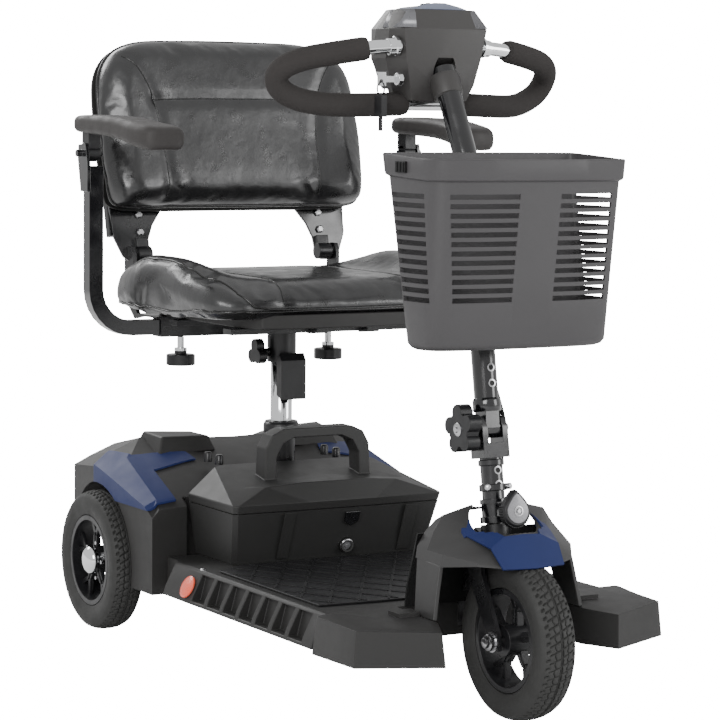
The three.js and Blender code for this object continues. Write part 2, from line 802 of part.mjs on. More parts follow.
// The key stands in its switch on the rider's right of the head, with ring, fob and spare hanging from it.
const KEY = { x: -62, y: 199, z: 799 };
part(
  "key",
  cut(
    join(
      rod([0, 0, 0], [-6, 0, 0], 9, 8, 18),
      box(-24, -5, -1.2, 1.2, -4, 4),
      box(-34, -22, -1.2, 1.2, -9, 9),
    ),
    rod([-29, -5, -3], [-29, 5, -3], 2.6, 2.6, 12),
  ),
  "chrome",
  scooter,
  KEY.x,
  KEY.y,
  KEY.z,
);

part(
  "key_ring",
  join(
    new THREE.TorusGeometry(9, 1, 6, 16).rotateY(Math.PI / 2).translate(0, 0, -12),
    box(-4, 4, -9, 9, -48, -20.5),
    box(-1, 1, -3.5, 3.5, -66, -47),
  ),
  "gloss",
  scooter,
  KEY.x - 29,
  KEY.y,
  KEY.z,
);

// ---------- control cable, clipped behind the column ----------
const cableOnColumn = (points) => sweep(points, 3, 8, 12);
part(
  "tiller_cable_lower",
  cableOnColumn([
    [9, 21.5, 152],
    [9, 21.5, 190],
    [16, 22, 216],
    [23, 19, 238],
    [24, 9, 247],
    [24, 1.5, 254],
    [24, 0, STEER.pivotAt - 2],
  ]),
  "gloss",
  column,
);
part(
  "tiller_cable_upper",
  cableOnColumn([
    [24, 0, STEER.pivotAt + 2],
    [24, 1.5, 272],
    [24, 10, 300],
    [20, 20, 340],
    [16, 22, 420],
    [14, 22, 520],
    [14, 26, 585],
    [14, 44, 640],
    [14, 54, 668],
  ]),
  "gloss",
  column,
);

// ---------- basket ----------
// Half outline of the basket at a height: the back leans with the column, the front swells upwards and,
// above the flat floor, sags a little.
function basketRing(z, grow) {
  const share = (z - BASKET.bottom) / (BASKET.top - BASKET.bottom);
  const mix = (low, high) => low + (high - low) * share;
  const back = mix(62, 108) + grow;
  const front = mix(-8, -38) - grow;
  const half = mix(135, 142) + grow;
  const corner = mix(34, 52);
  const sag = -6 * Math.max(0, share - 0.05);
  return bothSides([
    [half * 0.45, front + 3, z + sag],
    [half * 0.82, front + corner * 0.27, z + sag],
    [half * 0.96, front + corner * 0.5, z + sag],
    [half, front + corner, z + sag * 0.6],
    [half, back - 12, z],
    [half - 12, back, z],
  ]);
}
function basket() {
  const wall = BASKET.wall;
  const rimLow = BASKET.top - BASKET.rimHeight;
  const outside = loft([
    basketRing(BASKET.bottom, -8),
    basketRing(BASKET.bottom + 8, 0),
    basketRing(rimLow, 0),
    basketRing(rimLow + 2, BASKET.rimProud),
    basketRing(BASKET.top, BASKET.rimProud),
  ]);
  const inside = loft([
    basketRing(BASKET.bottom + wall, -8 - wall),
    basketRing(BASKET.bottom + 12, -wall),
    basketRing(BASKET.top + 4, -wall + 0.5),
  ]);
  const slots = [];
  for (let row = 0; row < 8; row++) {
    const z = 516 + row * 18;
    slots.push(box(-200, 200, 24, 76, z, z + 9));
    slots.push(box(26, 104, -120, 30, z, z + 9), box(-104, -26, -120, 30, z, z + 9));
  }
  return cut(outside, inside, ...slots);
}
part("basket", basket(), "basket");

// ---------- battery box ----------
// Half sections from the outer front corner round the box, at the base, the seam and the lid's edge.
function batteryRing(z, inset) {
  const share = (z - BATTERY.bottom) / (BATTERY.shoulder - BATTERY.bottom);
  const half = BATTERY.bottomHalf + (BATTERY.topHalf - BATTERY.bottomHalf) * share - inset;
  const front = BATTERY.front - (BATTERY.forward - 4) * share + inset;
  return bothSides([
    [half * 0.32, front - 4 * share, z],
    [half - 6, front, z],
    [half, front + 6, z],
    [half, BATTERY.rear - inset - 6, z],
    [half - 6, BATTERY.rear - inset, z],
  ]);
}
const batteryRise = BATTERY.shoulder - BATTERY.bottom;
const frontSlope = Math.atan(BATTERY.forward / batteryRise);
const FLAP_Z = 190;
const flapSetback = (BATTERY.forward * (FLAP_Z - BATTERY.bottom)) / batteryRise;
const FLAP = { x: 20, z: FLAP_Z, y: BATTERY.front - flapSetback };
function batteryCase() {
  const skin = BATTERY.skin;
  const outside = loft([batteryRing(BATTERY.bottom, 0), batteryRing(BATTERY.seam, 0)]);
  const inside = loft([
    batteryRing(BATTERY.bottom + skin, skin),
    batteryRing(BATTERY.seam + 4, skin),
  ]);
  const port = rod([FLAP.x, FLAP.y - 10, FLAP.z], [FLAP.x, FLAP.y + 2, FLAP.z], 7);
  const socket = rod([20, 480, 150], [20, 455, 150], 11, 11, 20);
  const inletTube = rod([20, 482, 150], [20, 469, 150], 10, 10, 20);
  const inlet = cut(inletTube, rod([20, 474, 150], [20, 460, 150], 7.5));
  return join(cut(outside, inside, port, socket), inlet);
}
function batteryLid() {
  const seam = BATTERY.seam + GAP;
  const rings = (inset) => [
    batteryRing(seam - inset * 1.2, inset),
    batteryRing(218 - inset, inset),
    bothSides([
      [50 - inset, 470 + inset, 243 - inset],
      [104 - inset, 480 + inset, 238 - inset],
      [128 - inset, 500 + inset, 236 - inset],
      [128 - inset, 592 - inset, 254 - inset],
      [112 - inset, 598 - inset, 256 - inset],
    ]),
  ];
  const shell = cut(loft(rings(0)), loft(rings(BATTERY.skin)));
  const arc = (half, top) => [[half, 238], [half - 2, top - 26], [half - 12, top - 8], [half - 30, top]];
  const handle = cut(
    prism("y", bothSides(arc(85, 312)), 520, 550),
    prism("y", bothSides(arc(68, 299)).map(([x, z]) => [x, z < 240 ? z - 20 : z]), 510, 560),
  );
  return join(shell, handle);
}
part("battery_case", batteryCase(), "body");
part("battery_lid", batteryLid(), "body");
const cell = box(4, 140, 492, 596, 136.5, 222);
part("battery_cells", join(cell, mirrored(cell), box(-6, 6, 530, 560, 137, 160)), "frame");
const flapOutline = [[-11.4, 11.5], [11.4, 11.5], [11.4, -3.7], [0, -11.2], [-11.4, -3.7]];
const flapPlate = prism("y", flapOutline, -3.4, -GAP);
part("charge_flap", flapPlate, "gloss", scooter, FLAP.x, FLAP.y, FLAP.z).rotation.x = frontSlope;

// ---------- seat post ----------
part("seat_post", rod([0, POST.y, POST.bottom], [0, POST.y, POST.top], POST.radius, undefined, 20), "chrome");

// ---------- seat frame ----------
function seatFrame() {
  const tube = ARMREST.tube;
  const [y, z] = [ARMREST.y, ARMREST.crossZ];
  const outer = tube / 2 + 3.5;
  const receiver = box(-160, 160, y - outer, y + outer, z - outer, z + outer);
  const inner = tube / 2 + GAP;
  const bore = box(-170, 170, y - inner, y + inner, z - inner, z + inner);
  const hub = rod([0, POST.y, 396], [0, POST.y, 458], 21, undefined, 20);
  const hubBore = rod([0, POST.y, 390], [0, POST.y, POST.top + 1], POST.radius + GAP, undefined, 20);
  const stay = (x) => box(x - 8, x + 8, 440, 758, 453, 461);
  const crossBar = (at) => box(-172, 172, at - 12, at + 12, 453, 461);
  const hingeArm = (x) =>
    prism(
      "x",
      [
        [734, 459],
        [766, 453],
        [800, 482],
        [800, BACK.hingeZ],
        [792, BACK.hingeZ + 12],
        [776, BACK.hingeZ + 12],
        [770, BACK.hingeZ],
        [770, 478],
        [756, 461.4],
        [734, 461.4],
      ],
      x - 3,
      x + 3,
    );
  const pin = (x) => rod([x, BACK.hingeY, BACK.hingeZ], [x - 24, BACK.hingeY, BACK.hingeZ], 5);
  return cut(
    join(
      receiver,
      hub,
      box(-46, 46, 586, 690, 446, 461),
      stay(40),
      stay(-40),
      crossBar(468),
      crossBar(636),
      box(-172, 172, 690, 758, 458.6, 461.4),
      hingeArm(169),
      hingeArm(-169),
      pin(169),
      mirrored(pin(169)),
    ),
    bore,
    hubBore,
  );
}
part("seat_frame", seatFrame(), "frame");

// ---------- seat ----------
const seatOutline = (half, front, rear) => [
  [half - 60, front],
  [half - 18, front + 12],
  [half, front + 48],
  [half, rear - 60],
  [half - 14, rear - 14],
  [half - 60, rear],
];
part(
  "seat_pan",
  prism(
    "z",
    bothSides(seatOutline(158, SEAT.front + 10, SEAT.rear - 12)),
    SEAT.panBottom,
    SEAT.panTop - GAP,
  ),
  "body",
);
function seatCushion() {
  const level = (z, inset) =>
    bothSides(seatOutline(SEAT.half - inset, SEAT.front + inset, SEAT.rear - inset)).map(([x, y]) => {
      const bolster = 26 * THREE.MathUtils.smoothstep(Math.abs(x), 110, 190);
      const along = Math.sin(Math.PI * THREE.MathUtils.clamp((y - SEAT.front) / 420, 0, 1));
      return [x, y, z === SEAT.panTop ? z : z + bolster * along];
    });
  return loft([level(SEAT.panTop, 10), level(492, 0), level(508, 2), level(522, 20)]);
}
part("seat_cushion", seatCushion(), "vinyl");

// ---------- seat controls ----------
part(
  "post_lock_lever",
  join(
    prism("x", [[595, 344], [609, 350], [610, 404], [602, 410], [595, 400]], -20, 20),
    rod([-12, 606, 404], [12, 606, 404], 5),
  ),
  "gloss",
);
const HUB_KNOB = { x: -26, y: 632, z: 410 };
part(
  "seat_hub_knob",
  join(
    rod([-8, 0, 0], [3.5, 0, 0], 6),
    ...[0, 1, 2].map((i) => {
      const a = deg(90 + i * 120);
      const lobe = [10 * Math.cos(a), 10 * Math.sin(a)];
      return rod([-20, ...lobe], [-8, ...lobe], 10, 10, 14);
    }),
    rod([-20, 0, 0], [-8, 0, 0], 10, 10, 14),
  ),
  "gloss",
  scooter,
  HUB_KNOB.x + 1,
  HUB_KNOB.y,
  HUB_KNOB.z,
);
const SWIVEL_LEVER = { x: 60, y: 652, z: 438 };
part(
  "swivel_lever",
  join(
    rod([0, 0, -5], [0, 0, 7], 7),
    rod([0, 0, 0], [80, 0, 0], 3.5, 3.5, 10),
    rod([80, 0, 0], [112, 0, 0], 6, 6, 12),
  ),
  "gloss",
  scooter,
  SWIVEL_LEVER.x,
  SWIVEL_LEVER.y,
  SWIVEL_LEVER.z,
);

// ---------- seat back ----------
const back = new THREE.Group();
back.position.set(0, BACK.hingeY, BACK.hingeZ);
back.rotation.x = -deg(BACK.lean);
scooter.add(back);
const backSpan = (BACK.top - BACK.hingeZ) / Math.cos(deg(BACK.lean));
const backLow = (BACK.bottom - BACK.hingeZ) / Math.cos(deg(BACK.lean));
function backOutline(inset) {
  const half = BACK.half - inset;
  return bothSides([
    [half - 78, backLow + inset],
    [half - 14, backLow + 20 + inset],
    [half, backLow + 60],
    [half, backSpan - 118],
    [half - 12, backSpan - 60],
    [half - 50, backSpan - 18 - inset],
    [half - 110, backSpan - 4 - inset],
    [2, backSpan - inset],
  ]);
}
const backRing = (y, inset) => backOutline(inset).map(([x, z]) => [x, y, z]);
const backPad = loft([backRing(-50, 26), backRing(-38, 6), backRing(-20, 0), backRing(-10, 2)]);
part("back_cushion", backPad, "vinyl", back);
const LEG_OUTLINE = [
  [112, 150],
  [116, 44],
  [130, 12],
  [140, -10],
  [160, -12],
  [163, 0],
  [163, 20],
  [178, 60],
  [178, 150],
];
function backFrame() {
  const shell = loft([backRing(-9.6, 3), backRing(-4, 4), backRing(3, 24)]);
  const leg = cut(
    join(
      prism("y", LEG_OUTLINE, -9, -3),
      rod([138, 0, 0], [162, 0, 0], 12, 12, 20),
      box(138, 162, -6, 6, 0, 30),
    ),
    rod([120, 0, 0], [180, 0, 0], 5.4, 5.4, 20),
  );
  return join(shell, leg, mirrored(leg));
}
part("back_frame", backFrame(), "body", back);

// ---------- armrests ----------
function armrestTube() {
  const r = ARMREST.tube / 2;
  const [x, z] = [ARMREST.x, ARMREST.crossZ];
  const outline = (offset) => {
    const bend = 56 + offset;
    const corner = [x - 56, z + 56];
    const arc = Array.from({ length: 8 }, (_, i) => {
      const a = deg(-90 + (i * 90) / 7);
      return [corner[0] + bend * Math.cos(a), corner[1] + bend * Math.sin(a)];
    });
    return [[92, z - offset], ...arc, [x + offset, 676]];
  };
  const tube = prism("y", [...outline(r), ...outline(-r).reverse()], ARMREST.y - r, ARMREST.y + r);
  const plate = prism(
    "x",
    [
      [ARMREST.y - 12, 640],
      [ARMREST.y + 12, 640],
      [ARMREST.pivotY + 14, ARMREST.pivotZ - 8],
      [ARMREST.pivotY + 12, ARMREST.pivotZ + 12],
      [ARMREST.pivotY - 12, ARMREST.pivotZ + 14],
      [ARMREST.y - 12, 680],
    ],
    x + r - 1,
    x + r + 4,
  );
  const { pivotY, pivotZ } = ARMREST;
  const pin = rod([x - 16, pivotY, pivotZ], [x + r + 12, pivotY, pivotZ], 5);
  return join(tube, plate, pin);
}
function armPad() {
  const ring = (y, middle, half, low, high) => [
    [middle - half, y, low + 6],
    [middle - half + 6, y, low],
    [middle + half - 6, y, low],
    [middle + half, y, low + 6],
    [middle + half, y, high - 8],
    [middle + half - 8, y, high],
    [middle - half + 8, y, high],
    [middle - half, y, high - 8],
  ];
  const pad = loft([
    ring(ARMREST.padRear, 260, 20, 726, 742),
    ring(ARMREST.padRear - 12, 260, 26, 723, 748),
    ring(620, 260, 27, 719, 747),
    ring(556, 257, 28, 712, 742),
    ring(528, 252, 31, 704, 738),
    ring(ARMREST.padFront + 10, 248, 33, 700, 735),
    ring(ARMREST.padFront, 248, 24, 704, 730),
  ]);
  const { pivotY, pivotZ } = ARMREST;
  const lugOuter = ARMREST.x + ARMREST.tube / 2 - 1.5;
  const lug = cut(
    join(
      box(250, lugOuter, pivotY - 12, pivotY + 12, pivotZ, 729),
      rod([250, pivotY, pivotZ], [lugOuter, pivotY, pivotZ], 12, 12, 20),
    ),
    rod([240, pivotY, pivotZ], [290, pivotY, pivotZ], 5.5, 5.5, 20),
  );
  return join(pad, lug);
}
const ARM_KNOB = { x: 122, z: 388 };
for (const [side, group] of sides) {
  part("armrest_tube_" + side, armrestTube(), "gloss", group);
  part("arm_pad_" + side, armPad(), "pad", group);
  part(
    "arm_knob_" + side,
    join(
      rod([0, 0, 0], [0, 0, 16], 21, 21, 12),
      rod([0, 0, 16], [0, 0, 24], 9, 9, 12),
      rod([0, 0, 24], [0, 0, 42], 4, 4, 12),
    ),
    "gloss",
    group,
    ARM_KNOB.x,
    ARMREST.y,
    ARM_KNOB.z,
  );
}

export default scooter;
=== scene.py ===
import json
import math
import bmesh
import bpy
import numpy as np
from mathutils import Matrix, Vector
from mathutils.bvhtree import BVHTree


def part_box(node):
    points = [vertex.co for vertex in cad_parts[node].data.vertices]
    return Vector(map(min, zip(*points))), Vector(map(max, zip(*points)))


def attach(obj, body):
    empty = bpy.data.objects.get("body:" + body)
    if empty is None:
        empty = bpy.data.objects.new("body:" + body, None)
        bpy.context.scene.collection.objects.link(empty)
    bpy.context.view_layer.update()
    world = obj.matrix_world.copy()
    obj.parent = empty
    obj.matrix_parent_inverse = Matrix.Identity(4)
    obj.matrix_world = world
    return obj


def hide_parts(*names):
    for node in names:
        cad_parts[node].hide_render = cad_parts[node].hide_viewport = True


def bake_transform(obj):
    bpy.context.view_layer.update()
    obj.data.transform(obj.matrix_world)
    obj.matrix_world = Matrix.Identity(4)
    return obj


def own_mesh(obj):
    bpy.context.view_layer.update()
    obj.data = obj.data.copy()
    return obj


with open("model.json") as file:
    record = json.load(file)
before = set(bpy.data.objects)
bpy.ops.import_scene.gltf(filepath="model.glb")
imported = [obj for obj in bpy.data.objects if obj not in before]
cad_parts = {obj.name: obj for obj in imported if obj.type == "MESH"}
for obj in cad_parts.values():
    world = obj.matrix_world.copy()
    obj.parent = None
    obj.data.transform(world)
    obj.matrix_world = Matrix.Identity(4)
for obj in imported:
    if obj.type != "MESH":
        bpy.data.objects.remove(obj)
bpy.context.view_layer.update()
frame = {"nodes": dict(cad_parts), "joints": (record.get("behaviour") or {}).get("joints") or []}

# ---------- places ----------
# Shapes are drawn in millimetres. The scooter's own drawing frame has its origin on the ground under the
# front axle, +Y to the rear; the column and backrest frames have their Z along the tilted piece.
MM = 0.001
JOINTS = {joint["name"]: joint for joint in frame["joints"]}
AXLE = (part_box("front_tyre")[0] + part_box("front_tyre")[1]) / 2
SCALE = Matrix.Scale(MM, 4)
SCOOTER = Matrix.Translation((0, AXLE.y, 0)) @ SCALE
STEER_AXIS = Vector(JOINTS["steer"]["axis"])
LEAN = math.atan2(STEER_AXIS.y, STEER_AXIS.z)
COLUMN = Matrix.Translation(JOINTS["steer"]["pos_m"]) @ Matrix.Rotation(-LEAN, 4, "X") @ SCALE
BACK_LEAN = math.radians(14)
BACK = Matrix.Translation(JOINTS["backrest_fold"]["pos_m"]) @ Matrix.Rotation(-BACK_LEAN, 4, "X") @ SCALE
SIDES = (("left", 1), ("right", -1))
WHEEL_RADIUS = (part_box("front_tyre")[1].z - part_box("front_tyre")[0].z) / 2 / MM
REAR_AXLE_Y = ((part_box("rear_tyre_left")[0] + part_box("rear_tyre_left")[1]) / 2).y / MM - AXLE.y / MM
REAR_WHEEL_X = ((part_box("rear_tyre_left")[0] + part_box("rear_tyre_left")[1]) / 2).x / MM


# ---------- materials ----------
def tree(name):
    made = bpy.data.materials.new(name)
    made.use_nodes = True
    return made, made.node_tree.nodes, made.node_tree.links


def surface(name, color, roughness, metallic=0.0, coat=0.0, specular=0.5, mottle=0.08, mottle_scale=18.0,
            smudge=0.1, grain=0.0, grain_scale=900.0, grain_depth=0.0003, cells=False, wrinkle=0.0,
            wrinkle_scale=40.0):
    """A principled surface whose colour and roughness drift, with a fine relief of grain or cells."""
    made, nodes, links = tree(name)
    shader = nodes["Principled BSDF"]
    shader.inputs["Metallic"].default_value = metallic
    shader.inputs["Coat Weight"].default_value = coat
    shader.inputs["Coat Roughness"].default_value = 0.12
    shader.inputs["Specular IOR Level"].default_value = specular
    place = nodes.new("ShaderNodeTexCoord").outputs["Object"]

    def noise(scale, detail, target):
        texture = nodes.new("ShaderNodeTexNoise")
        texture.inputs["Scale"].default_value = scale
        texture.inputs["Detail"].default_value = detail
        links.new(place, texture.inputs["Vector"])
        links.new(texture.outputs["Fac"], target)

    tint = nodes.new("ShaderNodeMix")
    tint.data_type = "RGBA"
    tint.inputs["A"].default_value = (*[c * (1 - mottle) for c in color], 1)
    tint.inputs["B"].default_value = (*[min(1, c * (1 + mottle)) for c in color], 1)
    noise(mottle_scale, 5, tint.inputs["Factor"])
    links.new(tint.outputs["Result"], shader.inputs["Base Color"])

    rough = nodes.new("ShaderNodeMapRange")
    rough.inputs["From Min"].default_value = 0.3
    rough.inputs["From Max"].default_value = 0.7
    rough.inputs["To Min"].default_value = max(0.02, roughness - smudge)
    rough.inputs["To Max"].default_value = min(1, roughness + smudge)
    noise(mottle_scale * 2.3, 6, rough.inputs["Value"])
    links.new(rough.outputs["Result"], shader.inputs["Roughness"])

    normal = None
    if wrinkle:
        folds = nodes.new("ShaderNodeBump")
        folds.inputs["Strength"].default_value = wrinkle
        folds.inputs["Distance"].default_value = 0.004
        noise(wrinkle_scale, 3, folds.inputs["Height"])
        normal = folds.outputs["Normal"]
    if grain:
        relief = nodes.new("ShaderNodeBump")
        relief.inputs["Strength"].default_value = grain
        relief.inputs["Distance"].default_value = grain_depth
        if cells:
            pattern = nodes.new("ShaderNodeTexVoronoi")
            pattern.feature = "DISTANCE_TO_EDGE"
            pattern.inputs["Scale"].default_value = grain_scale
            links.new(place, pattern.inputs["Vector"])
            links.new(pattern.outputs["Distance"], relief.inputs["Height"])
        else:
            noise(grain_scale, 2, relief.inputs["Height"])
        if normal:
            links.new(normal, relief.inputs["Normal"])
        normal = relief.outputs["Normal"]
    if normal:
        links.new(normal, shader.inputs["Normal"])
    return made


MOULDED = {"mottle": 0.04, "smudge": 0.03}
MATERIALS = {
    "body": surface("body_plastic", (0.021, 0.0205, 0.020), 0.52, specular=0.34, grain=0.25,
                    grain_scale=1400, **MOULDED),
    "battery": surface("battery_plastic", (0.024, 0.024, 0.0235), 0.48, specular=0.36, grain=0.25,
                       grain_scale=1400, **MOULDED),
    "shroud": surface("shroud_plastic", (0.034, 0.0335, 0.0335), 0.44, specular=0.4, grain=0.2,
                      grain_scale=1400, **MOULDED),
    "mat": surface("mat_rubber", (0.010, 0.010, 0.011), 0.5, specular=0.35, grain=0.5, grain_scale=1000),
    "blue": surface("blue_gloss", (0.013, 0.022, 0.090), 0.46, specular=0.22, mottle=0.1, smudge=0.05),
    "head": surface("head_plastic", (0.040, 0.038, 0.037), 0.42, specular=0.45, grain=0.25,
                    grain_scale=1300, **MOULDED),
    "basket": surface("basket_plastic", (0.052, 0.050, 0.052), 0.47, specular=0.4, grain=0.3,
                      grain_scale=1300, **MOULDED),
    "tyre": surface("tyre_rubber", (0.022, 0.022, 0.021), 0.68, grain=0.4, grain_scale=700, mottle=0.25),
    "rim": surface("rim_plastic", (0.010, 0.010, 0.011), 0.36, grain=0.1, grain_scale=900),
    "frame": surface("powder_coat", (0.008, 0.008, 0.009), 0.34, grain=0.3, grain_scale=1500),
    "gloss": surface("gloss_paint", (0.004, 0.004, 0.005), 0.2, coat=0.7, grain=0.05, grain_scale=300),
    "knob": surface("knob_plastic", (0.008, 0.008, 0.009), 0.38, specular=0.4, grain=0.2, grain_scale=1200),
    "dark": surface("dark_plastic", (0.004, 0.004, 0.004), 0.5, specular=0.3, grain=0.2, grain_scale=1200),
    "chrome": surface("chrome", (0.80, 0.81, 0.82), 0.08, metallic=1.0, mottle=0.04, smudge=0.04),
    "steel": surface("steel", (0.50, 0.50, 0.51), 0.28, metallic=1.0, grain=0.1, grain_scale=600),
    "silver": surface("silver_plastic", (0.24, 0.24, 0.25), 0.34, metallic=0.5, mottle=0.3,
                      mottle_scale=700, grain=0.15, grain_scale=1200),
    "crown": surface("crown_plastic", (0.16, 0.16, 0.17), 0.3, metallic=0.3, grain=0.1, grain_scale=1200),
    "foam": surface("grip_foam", (0.038, 0.035, 0.034), 0.95, specular=0.15, grain=0.7, grain_scale=1600,
                    grain_depth=0.0006, smudge=0.04),
    "vinyl": surface("black_vinyl", (0.0085, 0.0085, 0.009), 0.33, specular=0.75, coat=0.2, grain=0.4,
                     grain_scale=420, cells=True, wrinkle=0.3, wrinkle_scale=34, mottle=0.15),
    "piping": surface("piping_vinyl", (0.005, 0.005, 0.005), 0.25, coat=0.3, grain=0.2, grain_scale=700),
    "pad": surface("arm_pad_foam", (0.036, 0.033, 0.032), 0.55, specular=0.35, grain=0.5, grain_scale=900,
                   cells=True),
    "panel": surface("panel_silver", (0.16, 0.18, 0.24), 0.3, coat=0.3, grain=0.1, grain_scale=900),
    "reflector": surface("reflector", (0.90, 0.12, 0.06), 0.25, coat=0.5, grain=0.6, grain_scale=500,
                         cells=True, grain_depth=0.0008),
}


# ---------- shapes: each is (points in millimetres, faces) ----------
def box(x0, x1, y0, y1, z0, z1):
    points = [(x, y, z) for x in (x0, x1) for y in (y0, y1) for z in (z0, z1)]
    faces = [(0, 1, 3, 2), (4, 6, 7, 5), (0, 4, 5, 1), (2, 3, 7, 6), (0, 2, 6, 4), (1, 5, 7, 3)]
    return points, faces


def loft(rings, closed_ring=True, caps=True):
    count = len(rings[0])
    points = [p for ring in rings for p in ring]
    faces = []
    for r in range(len(rings) - 1):
        for i in range(count if closed_ring else count - 1):
            a, b = r * count + i, r * count + (i + 1) % count
            faces.append((a, b, b + count, a + count))
    if caps:
        faces.append(tuple(range(count))[::-1])
        faces.append(tuple(range((len(rings) - 1) * count, len(rings) * count)))
    return points, faces


def circle_frame(direction):
    along = Vector(direction).normalized()
    helper = Vector((0, 0, 1)) if abs(along.z) < 0.9 else Vector((1, 0, 0))
    side = along.cross(helper).normalized()
    return side, along.cross(side)


def ring_at(centre, direction, radius, sides):
    side, up = circle_frame(direction)
    angles = [2 * math.pi * i / sides for i in range(sides)]
    return [Vector(centre) + side * radius * math.cos(a) + up * radius * math.sin(a) for a in angles]


def rod(start, end, radius, sides=32):
    along = Vector(end) - Vector(start)
    return loft([ring_at(start, along, radius, sides), ring_at(end, along, radius, sides)])


def turned(start, direction, profile, sides=48):
    """A lathed body: profile is [(distance along, radius)] from a start point along a direction."""
    along = Vector(direction).normalized()
    return loft([ring_at(Vector(start) + along * d, along, max(r, 0.01), sides) for d, r in profile])


def smooth_path(points, steps=8):
    """A Catmull-Rom line through the points."""
    p = [Vector(q) for q in points]
    p = [p[0] * 2 - p[1]] + p + [p[-1] * 2 - p[-2]]
    line = []
    for i in range(1, len(p) - 2):
        for k in range(steps):
            t = k / steps
            a, b, c, d = p[i - 1], p[i], p[i + 1], p[i + 2]
            bend = 2 * a - 5 * b + 4 * c - d
            line.append(0.5 * (2 * b + (c - a) * t + bend * t**2 + (3 * b - a - 3 * c + d) * t**3))
    line.append(p[-2])
    return line


def tube(points, radius, sides=20):
    """A tube whose rings turn with the line and never twist; radius may be a list, one for each point."""
    line = [Vector(q) for q in points]
    count = len(line)
    radii = radius if isinstance(radius, (list, tuple)) else [radius] * count
    rings = []
    side = None
    for i, q in enumerate(line):
        along = (line[min(i + 1, count - 1)] - line[max(i - 1, 0)]).normalized()
        if side is None:
            side = circle_frame(along)[0]
        side = (side - along * side.dot(along)).normalized()
        up = along.cross(side)
        angles = [2 * math.pi * k / sides for k in range(sides)]
        rings.append([q + (side * math.cos(a) + up * math.sin(a)) * radii[i] for a in angles])
    return loft(rings)


def prism(axis, outline, low, high):
    """A flat outline pushed along an axis: [y, z] along x, [x, z] along y, [x, y] along z."""
    at = "xyz".index(axis)
    return loft([[(*p[:at], w, *p[at:]) for p in outline] for w in (low, high)])


def rounded(half_x, half_y, corner, steps=6):
    """The outline of a rectangle with round corners."""
    outline = []
    for qx, qy, start in ((1, 1, 0), (-1, 1, 90), (-1, -1, 180), (1, -1, 270)):
        for i in range(steps + 1):
            a = math.radians(start + 90 * i / steps)
            x = qx * (half_x - corner) + corner * math.cos(a)
            y = qy * (half_y - corner) + corner * math.sin(a)
            outline.append((x, y))
    return outline


def rounded_off(outline, times=2):
    """A closed outline with its corners cut again and again, until it is a smooth loop."""
    for _ in range(times):
        cut = []
        for i, a in enumerate(outline):
            b = outline[(i + 1) % len(outline)]
            cut.append(tuple(0.75 * p + 0.25 * q for p, q in zip(a, b)))
            cut.append(tuple(0.25 * p + 0.75 * q for p, q in zip(a, b)))
        outline = cut
    return outline


def mirrored(shape):
    points, faces = shape
    return [(-p[0], p[1], p[2]) for p in points], [tuple(reversed(f)) for f in faces]


def both(half):
    """A half outline from the outside to the middle, completed by its mirror image."""
    return list(half) + [(-p[0], *p[1:]) for p in reversed(half) if abs(p[0]) > 1e-6]


# ---------- objects ----------
def finish_normals(mesh, angle):
    shell = bmesh.new()
    shell.from_mesh(mesh)
    bmesh.ops.remove_doubles(shell, verts=shell.verts, dist=1e-6)
    bmesh.ops.recalc_face_normals(shell, faces=shell.faces)
    shell.to_mesh(mesh)
    shell.free()
    mesh.shade_smooth()
    mesh.set_sharp_from_angle(angle=math.radians(angle))


def bevelled(obj, width, segments=2, angle=30):
    bevel = obj.modifiers.new("edges", "BEVEL")
    bevel.width = width * MM
    bevel.segments = segments
    bevel.limit_method = "ANGLE"
    bevel.angle_limit = math.radians(angle)
    bevel.harden_normals = True
    return obj


def make(name, shapes, material, place=SCOOTER, angle=35):
    """An object from shapes in millimetres, put in its place in the row frame, on no body yet."""
    points, faces = [], []
    for shape_points, shape_faces in shapes:
        start = len(points)
        points += [place @ Vector(p) for p in shape_points]
        faces += [tuple(i + start for i in face) for face in shape_faces]
    mesh = bpy.data.meshes.new(name)
    mesh.from_pydata([tuple(p) for p in points], [], faces)
    finish_normals(mesh, angle)
    mesh.materials.append(MATERIALS[material])
    obj = bpy.data.objects.new(name, mesh)
    bpy.context.scene.collection.objects.link(obj)
    return obj


def add(name, shapes, material, body, place=SCOOTER, bevel=0.0, segments=2, angle=35, stands_for=()):
    obj = make(name, shapes, material, place, angle)
    if bevel:
        bevelled(obj, bevel, segments)
    if stands_for:
        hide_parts(*stands_for)
    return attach(obj, body)


def baked(obj):
    """The object with its modifiers applied."""
    bpy.context.view_layer.update()
    made = bpy.data.meshes.new_from_object(obj.evaluated_get(bpy.context.evaluated_depsgraph_get()))
    obj.modifiers.clear()
    obj.data = made
    return obj


def carve(obj, shapes, place=SCOOTER):
    """Cuts the shapes out of an object."""
    tool = make("cutter", shapes, "dark", place)
    boolean = obj.modifiers.new("cut", "BOOLEAN")
    boolean.operation = "DIFFERENCE"
    boolean.object = tool
    boolean.solver = "EXACT"
    boolean.use_self = True
    baked(obj)
    bpy.data.objects.remove(tool)
    obj.data.shade_smooth()
    obj.data.set_sharp_from_angle(angle=math.radians(35))
    return obj


def thickened(obj, thickness, offset):
    """Gives a sheet its thickness, in millimetres; offset says which side of the sheet it lies on."""
    solid = obj.modifiers.new("thickness", "SOLIDIFY")
    solid.thickness = thickness * MM
    solid.offset = offset
    return obj


